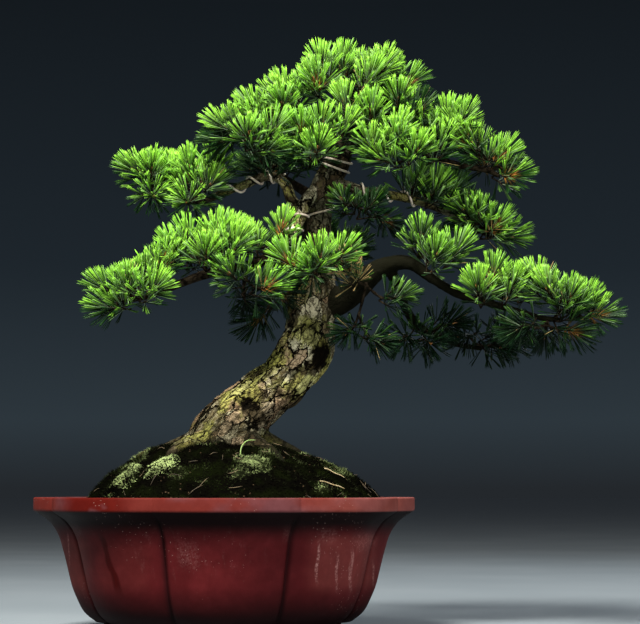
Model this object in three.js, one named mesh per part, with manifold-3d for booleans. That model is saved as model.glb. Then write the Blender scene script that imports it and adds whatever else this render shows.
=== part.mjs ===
// Japanese white pine bonsai in an eight-lobed stoneware pot. Millimetres, +Z up, front towards -Y.
import * as THREE from 'three';
import { mergeVertices } from 'three/addons/utils/BufferGeometryUtils.js';
import Module from 'manifold-3d';

const wasm = await Module();
wasm.setup();

// Driving dimensions
const clearance = 0.3;
const potRadius = 208;
const potHeight = 145;
const potDepthShare = 0.94;
const potSides = 32;
const potLobes = 8;
const potTurn = THREE.MathUtils.degToRad(3);
const lobeDepth = 0.045;
const innerLobeDepth = 0.8 * lobeDepth;
const footHeight = 11;
const footOuter = 135;
const footInner = 108;
const footAngle = THREE.MathUtils.degToRad(32);
const footHalfWidth = THREE.MathUtils.degToRad(12);
const floorTop = 23;
const drainRadius = 12;
const drainAcross = 58;
const screenSide = 34;
const screenThickness = 1.2;
const moundTop = 206;
const moundEdge = 139;
const moundRadius = 161;
const moundLean = 10;
const soilEdgeRadius = 192;
const soilWallGap = 1.6 * clearance;
const trunkSides = 14;
const trunkSteps = 19;
const branchSides = 5;
const rootSides = 5;
const barkRelief = 0.05;
const wireRadius = 1.2;
const wireSides = 4;
const wireStepsPerTurn = 8;
const needleLength = 30;
const needleRadius = 1.3;
const shootRadius = 1.2;
const shootStep = 2.6;
const twigRadius = 1.3;
const stubLength = 5;
const depthSpread = 1.3;
const bendShare = 0.55;
const twigSag = 0.14;
// Opening of the needles from the shoot, from its foot to its tip, in radians
const needleOpenings = [1.42, 1.15, 0.95, 0.7, 0.33];

// The tree is laid out as it is seen from the front, from this eye point
const eye = { across: 105, up: 155, distance: 2400 };

// Outer wall of the pot from its foot ring to its rim: radius, height
const potOutside = [
  [139.5, 11], [153, 21], [165, 47], [173, 80], [180, 105], [190, 119.5], [202, 127], [potRadius, 131],
  [potRadius, potHeight],
];
// Inner wall from the rim down to the floor
const potInside = [
  [194, potHeight], [189, 129], [169, 100], [148, 33], [128, floorTop],
];

// Trunk and roots: across, up, towards the viewer, radius
const trunk = [
  [2, 152, 0, 40], [2, 176, 0, 52], [1, 196, 0, 46], [5, 214, 2, 40], [19, 236, 4, 33.5], [45, 257, 6, 29.5],
  [70, 279, 8, 28.5], [88, 308, 8, 29], [94, 339, 6, 25.5], [96, 368, 4, 24], [100, 401, 4, 21],
  [101, 434, 6, 16.5], [103, 462, 8, 15], [108, 486, 8, 14.5], [120, 508, 8, 15], [127, 528, 10, 13],
  [133, 552, 12, 9], [127, 577, 14, 5.5], [118, 599, 14, 4],
];
const roots = [
  [[0, 214, 4, 22], [-36, 203, 8, 14], [-66, 192, 12, 11], [-90, 185, 14, 8.5], [-106, 166, 12, 4]],
  [[0, 208, 16, 20], [-34, 200, 36, 14], [-54, 191, 54, 10], [-70, 168, 72, 5]],
  [[18, 206, 16, 18], [44, 194, 46, 11], [62, 180, 68, 6.5], [74, 160, 84, 4]],
  [[24, 212, 4, 18], [58, 199, 2, 10.5], [86, 186, -2, 7], [106, 164, -6, 4]],
  [[0, 208, -16, 20], [-28, 196, -46, 12], [-46, 182, -72, 7], [-56, 162, -90, 4]],
  [[18, 206, -16, 18], [42, 193, -50, 10], [54, 178, -76, 6], [60, 158, -92, 4]],
];

// Branches, each from inside the limb that bears it: across, up, towards the viewer, radius
const branches = {
  lowerRight: [
    [107, 352, 4, 16], [133, 365, 12, 15], [155, 385, 20, 13], [177, 400, 28, 9.5], [204, 402, 36, 7.5],
    [228, 385, 42, 5.5], [259, 367, 46, 4.6], [298, 356, 50, 4], [342, 343, 54, 3.3], [369, 339, 56, 2.8],
  ],
  lowerRightBack: [
    [180, 399, 28, 7], [191, 372, 8, 5.5], [202, 346, -14, 5], [221, 327, -38, 4.4], [254, 313, -66, 3.3],
    [281, 308, -84, 2.8],
  ],
  lowerLeft: [
    [105, 487, 8, 9], [89, 471, 22, 7.8], [80, 449, 32, 7], [67, 423, 42, 6.5], [41, 405, 52, 6],
    [12, 396, 60, 5.5], [-21, 390, 64, 5.2], [-49, 380, 66, 4.4], [-82, 367, 66, 3.8], [-109, 361, 64, 3],
  ],
  leftUpper: [
    [101, 455, 4, 8], [76, 468, -8, 6.8], [67, 488, -14, 6], [56, 498, -18, 5.6], [41, 498, -20, 5.2],
    [23, 490, -22, 4.8], [1, 482, -26, 4.4], [-21, 473, -30, 3.9], [-40, 472, -36, 3.5], [-65, 482, -44, 3.2],
    [-82, 489, -50, 2.7],
  ],
  rightMiddle: [
    [112, 495, 8, 8], [138, 487, 18, 6], [162, 480, 18, 5.4], [193, 476, 12, 4.9], [224, 467, 2, 4.4],
    [254, 454, -8, 3.8], [279, 439, -16, 3.2], [293, 432, -20, 2.7],
  ],
  rightShoulder: [
    [129, 536, 10, 7], [160, 552, 16, 5.6], [193, 544, 18, 4.9], [226, 522, 20, 4.3], [259, 511, 22, 3.8],
    [287, 506, 24, 3.2], [301, 500, 24, 2.7],
  ],
  leftShoulder: [
    [125, 528, 10, 7], [94, 539, 26, 5.2], [72, 539, 36, 4.4], [50, 535, 42, 3.8], [25, 542, 46, 2.8],
  ],
  crownLeft: [[132, 552, 12, 6], [105, 573, 16, 4.4], [85, 574, 14, 3.6], [72, 577, 12, 2.9]],
  crownRight: [[132, 552, 12, 6], [151, 570, 6, 4.4], [176, 583, 0, 3.4], [186, 592, -4, 2.8]],
  front: [[101, 430, 6, 9], [100, 421, 32, 5.4], [101, 409, 52, 4]],
  backLower: [
    [98, 380, 0, 13], [103, 392, -32, 8.5], [111, 398, -64, 7], [112, 402, -96, 5.6], [105, 405, -130, 4.2],
    [99, 408, -150, 3],
  ],
  backMiddle: [
    [104, 466, 4, 9], [94, 477, -32, 6.6], [81, 486, -64, 5.2], [71, 493, -94, 4], [65, 498, -112, 3],
  ],
  backUpper: [[128, 528, 8, 8], [146, 534, -28, 5.6], [164, 540, -58, 4.4], [175, 546, -84, 3]],
};

// Sprays. share: where along the limb the stem starts. stub: the way it leaves the limb.
// tufts: across, up, nearer to the viewer than the start, lift of the tuft in degrees
const sprays = {
  crown_top: {
    limb: trunk,
    share: 0.99,
    stub: [-0.1, 1, 0],
    tufts: [
      [108, 614, 2, 80], [128, 616, -8, 75], [155, 599, 8, 60], [169, 614, -6, 55], [122, 605, -32, 60],
      [145, 609, -40, 55], [103, 596, 20, 50],
    ],
  },
  crown_right: {
    limb: branches.crownRight,
    share: 0.89,
    stub: [0.7, 0.6, 0],
    tufts: [
      [181, 609, -3, 60], [197, 600, -5, 25], [191, 576, 19, 45], [172, 594, -33, 45],
      [191, 587, -23, 35],
    ],
  },
  crown_left: {
    limb: branches.crownLeft,
    share: 0.92,
    stub: [-1, 0.3, 0],
    tufts: [
      [70, 583, 2, 60], [86, 588, 12, 70], [64, 572, 16, 35], [36, 568, -6, 40], [28, 554, 4, 10],
      [56, 583, -28, 50], [41, 563, -36, 35],
    ],
  },
  left_shoulder: {
    limb: branches.leftShoulder,
    share: 0.97,
    stub: [-0.9, 0.4, 0],
    tufts: [
      [5, 550, -4, 25], [48, 543, 18, 50], [41, 526, 16, 0], [24, 538, 14, 35], [-3, 539, -18, 5],
      [17, 554, -30, 40], [36, 556, -40, 50],
    ],
  },
  crown_front: {
    limb: branches.leftShoulder,
    share: 0.25,
    stub: [0, 0.3, 1],
    tufts: [
      [86, 541, 22, 45], [103, 545, 28, 60], [127, 543, 26, 60], [81, 521, 22, 10], [100, 523, 34, 30],
    ],
  },
  crown_middle: {
    limb: branches.rightShoulder,
    share: 0.17,
    stub: [0, 0.7, 0.8],
    tufts: [
      [206, 565, 12, 45], [164, 526, 32, 45], [185, 539, 28, 55], [135, 570, 22, 65],
      [161, 561, 24, 60],
    ],
  },
  crown_back: {
    limb: branches.crownRight,
    share: 0.67,
    stub: [0.1, 0.2, -1],
    tufts: [
      [177, 566, -42, 50], [160, 574, -48, 35], [196, 562, -42, 25],
    ],
  },
  right_fans: {
    limb: branches.rightShoulder,
    share: 0.40,
    stub: [-0.2, 0.2, 1],
    tufts: [
      [181, 514, 29, 15], [208, 519, 27, 35], [195, 530, 21, 50], [233, 526, 15, 55],
    ],
  },
  right_shoulder: {
    limb: branches.rightShoulder,
    share: 0.57,
    stub: [0, 1, 0],
    tufts: [
      [244, 553, 4, 65], [257, 552, 10, 55], [221, 546, 8, 60], [226, 552, -26, 50],
      [254, 542, -32, 45],
    ],
  },
  right_shoulder_tip: {
    limb: branches.rightShoulder,
    share: 0.91,
    stub: [0.4, 0.9, 0],
    tufts: [
      [268, 534, 7, 50], [281, 527, 5, 45], [298, 516, 1, 35], [308, 499, 5, 0], [288, 510, -25, 30],
    ],
  },
  left_upper_tip: {
    limb: branches.leftUpper,
    share: 0.98,
    stub: [-1, 0.4, 0],
    tufts: [
      [-92, 500, 2, 25], [-83, 497, 14, 50], [-82, 478, 12, -15], [-68, 495, -10, 60],
      [-75, 490, -24, 40],
    ],
  },
  left_upper: {
    limb: branches.leftUpper,
    share: 0.76,
    stub: [0, 1, 0],
    tufts: [
      [-38, 497, 11, 65], [-14, 503, 7, 65], [-23, 482, 23, 35], [-40, 470, 19, -10],
      [-52, 493, -1, 60], [-27, 490, -25, 45],
    ],
  },
  left_upper_inner: {
    limb: branches.leftUpper,
    share: 0.34,
    stub: [0, 1, -0.2],
    tufts: [
      [56, 512, 10, 60], [41, 512, -14, 50],
    ],
  },
  right_middle: {
    limb: branches.rightMiddle,
    share: 0.49,
    stub: [0, 1, 0],
    tufts: [
      [206, 484, 3, 60], [228, 477, 7, 60], [246, 476, 1, 60], [221, 475, -27, 45],
    ],
  },
  right_middle_tip: {
    limb: branches.rightMiddle,
    share: 0.90,
    stub: [0, 1, 0],
    tufts: [
      [262, 464, 6, 50], [269, 454, 16, 30], [281, 448, 8, 45], [292, 438, 10, 30], [303, 431, 2, 0],
      [274, 444, -22, 40],
    ],
  },
  inner_middle: {
    limb: branches.rightMiddle,
    share: 0.19,
    stub: [0, -0.6, 0.8],
    tufts: [
      [134, 466, 19, 30], [156, 462, 19, 40], [172, 452, 13, -35], [145, 467, -19, 10],
    ],
  },
  lower_left_tip: {
    limb: branches.lowerLeft,
    share: 0.98,
    stub: [-0.6, 0.9, 0],
    tufts: [
      [-120, 352, 0, 0], [-126, 369, -4, 30], [-108, 368, 8, 50], [-84, 368, 20, 35],
      [-82, 389, -2, 60], [-70, 397, 2, 65], [-103, 376, -26, 40], [-86, 384, -34, 45],
    ],
  },
  lower_left: {
    limb: branches.lowerLeft,
    share: 0.67,
    stub: [0, 1, 0],
    tufts: [
      [-51, 409, -4, 60], [-38, 420, -6, 65], [-12, 428, -4, 65], [1, 422, 2, 60], [-21, 405, 16, 40],
      [5, 414, 18, 45], [-38, 405, -30, 45], [-10, 412, -36, 50],
    ],
  },
  lower_left_inner: {
    limb: branches.lowerLeft,
    share: 0.42,
    stub: [0, 1, 0.2],
    tufts: [
      [28, 422, 7, 65], [60, 433, 13, 65], [37, 417, -29, 50],
    ],
  },
  lower_left_front: {
    limb: branches.lowerLeft,
    share: 0.49,
    stub: [0, -0.3, 1],
    tufts: [
      [12, 384, 23, 25], [41, 374, 21, 20], [21, 364, 11, -10],
    ],
  },
  lower_left_hanging: {
    limb: branches.lowerLeft,
    share: 0.39,
    stub: [-0.1, -1, 0],
    tufts: [
      [41, 345, -4, -45], [60, 368, -10, -20],
    ],
  },
  front_centre: {
    limb: branches.front,
    share: 0.89,
    stub: [0, -0.2, 1],
    tufts: [
      [75, 398, 24, 40], [103, 399, 28, 50], [122, 405, 18, 35], [96, 392, 16, 5],
    ],
  },
  right_lower_top: {
    limb: branches.lowerRight,
    share: 0.48,
    stub: [0.1, 1, 0],
    tufts: [
      [215, 422, 9, 60], [228, 402, 21, 45], [250, 408, 9, 50], [228, 416, -23, 50],
    ],
  },
  right_lower: {
    limb: branches.lowerRight,
    share: 0.74,
    stub: [0, 1, 0],
    tufts: [
      [279, 366, 18, 50], [292, 378, 6, 65], [312, 368, 12, 60], [298, 372, -24, 45],
      [332, 369, -26, 45],
    ],
  },
  right_lower_tip: {
    limb: branches.lowerRight,
    share: 0.97,
    stub: [0.5, 0.9, 0],
    tufts: [
      [347, 373, 10, 60], [360, 363, 14, 50], [375, 354, 10, 55], [391, 351, 2, 45], [402, 343, 2, 5],
      [382, 357, -24, 40],
    ],
  },
  right_lower_hanging: {
    limb: branches.lowerRight,
    share: 0.92,
    stub: [0.4, -1, 0.2],
    tufts: [
      [375, 330, 8, -30], [352, 328, -6, -35], [330, 334, 10, -30],
    ],
  },
  right_inner: {
    limb: branches.lowerRight,
    share: 0.22,
    stub: [0, -0.5, 0.9],
    tufts: [
      [139, 389, 26, 55], [184, 363, 22, 5], [161, 318, 20, -20], [140, 330, 22, -30],
    ],
  },
  right_hanging: {
    limb: branches.lowerRightBack,
    share: 0.98,
    stub: [1, 0.3, 0],
    tufts: [
      [292, 312, 3, -15], [266, 323, 11, -15], [310, 314, -7, 0], [301, 324, -29, 20],
    ],
  },
  right_hanging_inner: {
    limb: branches.lowerRightBack,
    share: 0.58,
    stub: [-0.2, -0.2, 1],
    tufts: [
      [199, 322, 36, -25], [239, 333, 14, 10], [222, 316, 18, -15],
    ],
  },
  back_lower: {
    limb: branches.backLower,
    share: 0.97,
    stub: [0, 0.7, -0.7],
    tufts: [
      [99, 418, -15, 20], [74, 412, 1, 25], [126, 416, 7, 30], [100, 430, 15, 60], [78, 404, 23, 15],
    ],
  },
  back_lower_inner: {
    limb: branches.backLower,
    share: 0.52,
    stub: [0.3, 1, 0],
    tufts: [
      [136, 414, -8, 40], [112, 424, 8, 60], [92, 416, -10, 40],
    ],
  },
  back_middle: {
    limb: branches.backMiddle,
    share: 0.95,
    stub: [-0.2, 0.7, -0.7],
    tufts: [
      [58, 504, -15, 20], [38, 500, 9, 25], [66, 512, 11, 60], [90, 508, 7, 40],
    ],
  },
  back_upper: {
    limb: branches.backUpper,
    share: 0.96,
    stub: [0.2, 0.7, -0.7],
    tufts: [
      [180, 552, -15, 20], [156, 558, 1, 50], [198, 550, 3, 25], [174, 562, 15, 60],
    ],
  },
};

// Training wires: limb, stretch of the limb as shares of its points, where the first turn starts,
// turns, how far the wire stands off the limb's radius
const wires = {
  wire_trunk_upper: { limb: trunk, start: 0.772, end: 0.815, phase: 0.6, turns: 1.75, standOff: 0.9 },
  wire_trunk_lower: { limb: trunk, start: 0.647, end: 0.685, phase: 0.61, turns: 0.51, standOff: 0.15 },
  wire_lower_left: { limb: branches.lowerLeft, start: 0.19, end: 0.36, phase: 0, turns: 2.6, standOff: 1 },
  wire_left_upper: { limb: branches.leftUpper, start: 0.26, end: 0.6, phase: 0, turns: 3.1, standOff: 0.7 },
  wire_right_middle: { limb: branches.rightMiddle, start: 0.2, end: 0.56, phase: 0, turns: 3, standOff: 0.6 },
};

const mossSides = 8;

// Cushions of taller moss on the mound: across, towards the viewer, radius, thickness
const mossCushions = {
  moss_front_left: [-101, 79, 20, 7],
  moss_front: [-62, 92, 19, 6],
  moss_front_right: [32, 108, 14, 5],
};

// Dry straws on the mound: across, towards the viewer, heading in degrees, length
const straws = {
  straw_long: [104, 96, 29, 30],
  straw_short: [109, 62, 26, 24],
};
const strawRadius = 0.9;

// A blade of grass: where it stands, then its route above the ground: across, up
const grass = { across: 20, toward: 82, route: [[0, -4], [1, 7], [7, 14], [16, 15]] };
const grassRadius = 0.9;

const stoneware = { color: 0x6e2622, roughness: 0.62, metalness: 0 };
const darkSoil = { color: 0x23241a, roughness: 0.95, metalness: 0 };
const brightMoss = { color: 0x5d7a2a, roughness: 0.95, metalness: 0 };
const bark = { color: 0x6b5d45, roughness: 0.9, metalness: 0 };
const copper = { color: 0xa8795a, roughness: 0.5, metalness: 0.8 };
const needleGreen = { color: 0x5fa832, roughness: 0.55, metalness: 0 };
const plasticMesh = { color: 0x1d1f1c, roughness: 0.6, metalness: 0 };
const dryStraw = { color: 0xb59a63, roughness: 0.8, metalness: 0 };
const grassGreen = { color: 0x7fb04a, roughness: 0.6, metalness: 0 };

// Solids

function toSolid(geometry) {
  geometry.deleteAttribute('normal');
  geometry.deleteAttribute('uv');
  const merged = mergeVertices(geometry, 1e-4);
  const vertProperties = new Float32Array(merged.attributes.position.array);
  const triVerts = new Uint32Array(merged.index.array);
  return new wasm.Manifold(new wasm.Mesh({ numProp: 3, vertProperties, triVerts }));
}

function toGeometry(solid) {
  const mesh = solid.getMesh();
  const geometry = new THREE.BufferGeometry();
  geometry.setAttribute('position', new THREE.BufferAttribute(new Float32Array(mesh.vertProperties), 3));
  geometry.setIndex(new THREE.BufferAttribute(new Uint32Array(mesh.triVerts), 1));
  geometry.computeVertexNormals();
  return geometry;
}

// Joins a list of solids pair by pair, so that no single solid grows large early
function joinAll(solids) {
  let level = solids;
  while (level.length > 1) {
    const next = [];
    for (let i = 0; i < level.length; i += 2) {
      next.push(i + 1 < level.length ? level[i].add(level[i + 1]) : level[i]);
    }
    level = next;
  }
  return level[0];
}

function largestBody(solid) {
  const bodies = solid.decompose();
  bodies.sort((a, b) => b.volume() - a.volume());
  return bodies[0];
}

// A closed skin over a stack of rings with the same number of points, capped at both ends
function skin(rings) {
  const count = rings[0].length;
  const points = rings.flat();
  const bottomCentre = points.length;
  const topCentre = bottomCentre + 1;
  for (const ring of [rings[0], rings[rings.length - 1]]) {
    const centre = new THREE.Vector3();
    ring.forEach((point) => centre.addScaledVector(point, 1 / count));
    points.push(centre);
  }
  const index = [];
  for (let r = 0; r + 1 < rings.length; r += 1) {
    for (let s = 0; s < count; s += 1) {
      const a = r * count + s;
      const b = r * count + ((s + 1) % count);
      index.push(a, b, b + count, a, b + count, a + count);
    }
  }
  const last = (rings.length - 1) * count;
  for (let s = 0; s < count; s += 1) {
    const next = (s + 1) % count;
    index.push(bottomCentre, next, s);
    index.push(topCentre, last + s, last + next);
  }
  const geometry = new THREE.BufferGeometry().setFromPoints(points);
  geometry.setIndex(index);
  return geometry;
}

// Layout

// The real place of a point that shows at (across, up) from the eye point
function place(across, up, toward) {
  const nearer = 1 - toward / eye.distance;
  const x = eye.across + (across - eye.across) * nearer;
  const z = eye.up + (up - eye.up) * nearer;
  return new THREE.Vector3(x, -toward, z);
}

// A limb's route: a smooth curve through its points, with the radius beside it
function route(limb) {
  const points = limb.map(([across, up, toward]) => place(across, up, toward));
  const thickness = limb.map(([, , , radius]) => new THREE.Vector3(radius, 0, 0));
  const curve = new THREE.CatmullRomCurve3(points, false, 'catmullrom');
  const radii = new THREE.CatmullRomCurve3(thickness, false, 'catmullrom');
  return {
    point: (share) => curve.getPoint(share),
    tangent: (share) => curve.getTangent(share),
    radius: (share) => radii.getPoint(share).x,
  };
}

// Frames that follow a route without twisting
function frames(path, steps, start = 0, end = 1) {
  const list = [];
  let side = null;
  for (let i = 0; i <= steps; i += 1) {
    const share = start + ((end - start) * i) / steps;
    const tangent = path.tangent(share);
    if (side === null) {
      const reference = Math.abs(tangent.z) > 0.8 ? new THREE.Vector3(1, 0, 0) : new THREE.Vector3(0, 0, 1);
      side = reference;
    }
    side = side.clone().addScaledVector(tangent, -side.dot(tangent)).normalize();
    const other = new THREE.Vector3().crossVectors(tangent, side);
    list.push({ share, point: path.point(share), tangent, side, other });
  }
  return list;
}

function ringAround(frame, sides, radiusAt) {
  const ring = [];
  for (let s = 0; s < sides; s += 1) {
    const angle = (2 * Math.PI * s) / sides;
    const radius = radiusAt(angle);
    const point = frame.point.clone();
    point.addScaledVector(frame.side, radius * Math.cos(angle));
    point.addScaledVector(frame.other, radius * Math.sin(angle));
    ring.push(point);
  }
  return ring;
}

// Lumps of the old bark, as a share of the radius
function barkLumps(angle, share) {
  const slow = Math.sin(2 * angle + 17 * share);
  const quick = Math.sin(3 * angle - 31 * share + 1);
  return barkRelief * (0.6 * slow + 0.5 * quick);
}

// A limb as a skin of rings. extra makes it that much thicker and longer, for cutting room for it
function limbSolid(limb, sides, steps, extra, lumps) {
  const path = route(limb);
  const line = frames(path, steps);
  line[0].point.addScaledVector(line[0].tangent, -extra);
  line[steps].point.addScaledVector(line[steps].tangent, extra);
  const rings = line.map((frame) => {
    const radius = path.radius(frame.share);
    return ringAround(frame, sides, (angle) => radius * (1 + lumps(angle, frame.share)) + extra);
  });
  return toSolid(skin(rings));
}

const smooth = () => 0;

// Trunk, roots and branches grown as one piece of wood
function woodSolid(extra) {
  const solids = [limbSolid(trunk, trunkSides, trunkSteps, extra, barkLumps)];
  roots.forEach((root) => solids.push(limbSolid(root, rootSides, root.length - 1, extra, smooth)));
  Object.values(branches).forEach((limb) => {
    solids.push(limbSolid(limb, branchSides, limb.length - 1, extra, smooth));
  });
  return joinAll(solids);
}

// Pot, drain screens and soil

function lobe(angle, depth) {
  return 1 - depth * (1 - Math.abs(Math.cos((potLobes / 2) * (angle - potTurn))));
}

// One outline of the pot, with a corner on the line where two lobes meet
function potRing(radius, height, depth) {
  const ring = [];
  for (let s = 0; s < potSides; s += 1) {
    const angle = potTurn + Math.PI / potLobes + (2 * Math.PI * s) / potSides;
    const reach = radius * lobe(angle, depth);
    ring.push(new THREE.Vector3(reach * Math.cos(angle), potDepthShare * reach * Math.sin(angle), height));
  }
  return ring;
}

function uprightCylinder(radius, low, high, across, sides) {
  const geometry = new THREE.CylinderGeometry(radius, radius, high - low, sides);
  geometry.rotateX(Math.PI / 2);
  geometry.translate(across, 0, (low + high) / 2);
  return toSolid(geometry);
}

function upright(width, depth, low, high, across, back) {
  const geometry = new THREE.BoxGeometry(width, depth, high - low);
  geometry.translate(across, back, (low + high) / 2);
  return toSolid(geometry);
}

// A low foot that follows the foot ring
function foot(angle) {
  const innerHalfWidth = 0.8 * footHalfWidth;
  const shape = new THREE.Shape();
  shape.absarc(0, 0, footOuter, angle - footHalfWidth, angle + footHalfWidth, false);
  shape.absarc(0, 0, footInner, angle + innerHalfWidth, angle - innerHalfWidth, true);
  const upwards = { depth: footHeight + 3, bevelEnabled: false, curveSegments: 4 };
  const geometry = new THREE.ExtrudeGeometry(shape, upwards);
  geometry.scale(1, potDepthShare, 1);
  return toSolid(geometry);
}

function potSolid() {
  const outside = potOutside.map(([radius, height]) => potRing(radius, height, lobeDepth));
  const inside = potInside.map(([radius, height]) => potRing(radius, height, innerLobeDepth));
  let pot = toSolid(skin([...outside, ...inside]));
  for (const side of [-1, 1]) {
    pot = pot.subtract(uprightCylinder(drainRadius, footHeight - 2, floorTop + 2, side * drainAcross, 12));
  }
  for (const angle of [footAngle, Math.PI - footAngle, Math.PI + footAngle, -footAngle]) {
    pot = pot.add(foot(angle));
  }
  return pot;
}

function screenSolid(across) {
  const low = floorTop + clearance;
  const half = screenSide / 2;
  let screen = upright(screenSide, screenSide, low, low + screenThickness, across, 0);
  const slot = 0.26 * screenSide;
  for (const shift of [-0.45, 0.45]) {
    const cut = upright(slot, 0.8 * screenSide, low - 1, low + screenThickness + 1, across + shift * half, 0);
    screen = screen.subtract(cut);
  }
  return screen;
}

// Height of the mound of soil at a point of the plan
function moundHeight(x, y) {
  const away = Math.hypot(x, y / potDepthShare) / (moundRadius + (moundLean * x) / moundRadius);
  const dome = away < 1 ? (1 - away ** 2.1) ** 0.8 : 0;
  const ripple = Math.sin(x * 0.045 + 1) * Math.cos(y * 0.05 - 0.4) + 0.6 * Math.sin(x * 0.09 - y * 0.07);
  const left = Math.exp(-(((x + 78) / 26) ** 2) - (((y + 6) / 34) ** 2));
  return moundEdge + (moundTop - moundEdge) * dome + 2.2 * ripple * dome + 5 * left;
}

function soilSolid(lift) {
  const wall = potInside.slice(1).reverse();
  const side = wall.map(([radius, height]) => {
    const low = height === floorTop;
    return potRing(radius - soilWallGap, height + (low ? clearance : 0), innerLobeDepth);
  });
  side.push(potRing(soilEdgeRadius - soilWallGap, moundEdge + lift, innerLobeDepth));
  const top = [0.97, 0.82, 0.62, 0.31].map((share) => {
    return potRing(moundRadius * share * 1.06, 0, innerLobeDepth * share * share);
  });
  top.forEach((ring) => ring.forEach((point) => point.setZ(moundHeight(point.x, point.y) + lift)));
  return toSolid(skin([...side, ...top]));
}

function soilWithHoles(woodClear) {
  const ground = moundHeight(grass.across, -grass.toward);
  const stemHole = uprightCylinder(grassRadius + 2 * clearance, ground - 5, ground + 20, 0, 5);
  let soil = soilSolid(0).subtract(woodClear).subtract(stemHole.translate([grass.across, -grass.toward, 0]));
  for (const side of [-1, 1]) {
    const top = floorTop + screenThickness + 2 * clearance;
    const size = screenSide + 2 * clearance;
    soil = soil.subtract(upright(size, size, floorTop - 1, top, side * drainAcross, 0));
  }
  return largestBody(soil);
}

// A low cushion that lies on the mound
function mossSolid([across, toward, radius, thickness], soilRaised, woodClear) {
  const rings = [1, 0.72, 0.36].map((share) => {
    const ring = [];
    for (let s = 0; s < mossSides; s += 1) {
      const angle = (2 * Math.PI * s) / mossSides;
      const reach = radius * share * (1 + 0.16 * Math.sin(2 * angle + across) + 0.08 * Math.cos(3 * angle));
      const x = across + reach * Math.cos(angle);
      const y = -toward + 0.8 * reach * Math.sin(angle);
      ring.push(new THREE.Vector3(x, y, moundHeight(x, y) + thickness * (1 - share * share) + 1));
    }
    return ring;
  });
  const under = rings[0].map((point) => point.clone().setZ(point.z - thickness - 12));
  const cushion = toSolid(skin([under, ...rings]));
  return largestBody(cushion.subtract(soilRaised).subtract(woodClear));
}

// A thin stem through a list of points, three-sided
function thinSolid(points, radiusAt) {
  const path = new THREE.CatmullRomCurve3(points, false, 'catmullrom');
  const steps = points.length - 1;
  const rings = frames({ point: (t) => path.getPoint(t), tangent: (t) => path.getTangent(t) }, steps);
  return toSolid(skin(rings.map((frame) => ringAround(frame, 3, () => radiusAt(frame.share)))));
}

// A straw that lies along the slope
function strawSolid([across, toward, heading, length], soilRaised) {
  const ground = new THREE.Mesh(toGeometry(soilRaised));
  const down = new THREE.Vector3(0, 0, -1);
  const points = [0, 0.5, 1].map((share) => {
    const angle = THREE.MathUtils.degToRad(heading);
    const x = across + share * length * Math.cos(angle);
    const y = -toward + share * length * Math.sin(angle);
    const hit = new THREE.Raycaster(new THREE.Vector3(x, y, 2 * potHeight), down).intersectObject(ground)[0];
    return hit.point.addScaledVector(down, -strawRadius);
  });
  return largestBody(thinSolid(points, () => strawRadius).subtract(soilRaised));
}

function grassSolid() {
  const ground = moundHeight(grass.across, -grass.toward);
  const points = grass.route.map(([over, up]) => {
    return new THREE.Vector3(grass.across + over, -grass.toward, ground + up);
  });
  return thinSolid(points, (share) => grassRadius * (1 - 0.7 * share));
}

// Wires

function wireSolid({ limb, start, end, phase, turns, standOff }) {
  const path = route(limb);
  const steps = Math.ceil(turns * wireStepsPerTurn);
  const chordLoss = Math.cos(Math.PI / wireStepsPerTurn);
  const points = frames(path, steps, start, end).map((frame, i) => {
    const angle = 2 * Math.PI * (phase + (turns * i) / steps);
    const reach = (path.radius(frame.share) + standOff + wireRadius) / chordLoss;
    const point = frame.point.clone();
    point.addScaledVector(frame.side, reach * Math.cos(angle));
    return point.addScaledVector(frame.other, reach * Math.sin(angle));
  });
  const centreLine = new THREE.CatmullRomCurve3(points, false, 'catmullrom');
  const section = new THREE.Shape();
  for (let s = 0; s < wireSides; s += 1) {
    const angle = (2 * Math.PI * (s + 0.5)) / wireSides;
    const x = wireRadius * Math.cos(angle);
    const y = wireRadius * Math.sin(angle);
    if (s === 0) section.moveTo(x, y);
    else section.lineTo(x, y);
  }
  section.closePath();
  const geometry = new THREE.ExtrudeGeometry(section, { steps, extrudePath: centreLine });
  return { solid: toSolid(geometry), points };
}

// Stretches that needles keep clear of: two ends with a radius each, and the node they belong to
const stretches = [];

function keepClear(node, owner, from, to, fromRadius, toRadius) {
  stretches.push({ node, owner, from, to, fromRadius, toRadius });
}

// Shortest distance between two stretches, less their radii there
function spareRoom(a, b) {
  const alongA = new THREE.Vector3().subVectors(a.to, a.from);
  const alongB = new THREE.Vector3().subVectors(b.to, b.from);
  const apart = new THREE.Vector3().subVectors(a.from, b.from);
  const aa = alongA.dot(alongA);
  const bb = alongB.dot(alongB);
  const ab = alongA.dot(alongB);
  const pa = alongA.dot(apart);
  const pb = alongB.dot(apart);
  const spread = aa * bb - ab * ab;
  let s = spread > 1e-9 ? THREE.MathUtils.clamp((ab * pb - pa * bb) / spread, 0, 1) : 0;
  const t = THREE.MathUtils.clamp((ab * s + pb) / bb, 0, 1);
  s = THREE.MathUtils.clamp((ab * t - pa) / aa, 0, 1);
  const gap = apart.addScaledVector(alongA, s).addScaledVector(alongB, -t).length();
  const radiusA = THREE.MathUtils.lerp(a.fromRadius, a.toRadius, s);
  const radiusB = THREE.MathUtils.lerp(b.fromRadius, b.toRadius, t);
  return gap - radiusA - radiusB;
}

// Pieces of one twig may touch. Twigs of one spray may cross, but their needles stand apart.
function isClear(candidate, room) {
  return stretches.every((other) => {
    if (other.owner === candidate.owner) return true;
    return spareRoom(candidate, other) > (other.node === candidate.node ? 0.1 : room);
  });
}

function isClearOfOthers(candidate) {
  return stretches.every((other) => other.node === candidate.node || spareRoom(candidate, other) > clearance);
}

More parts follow.
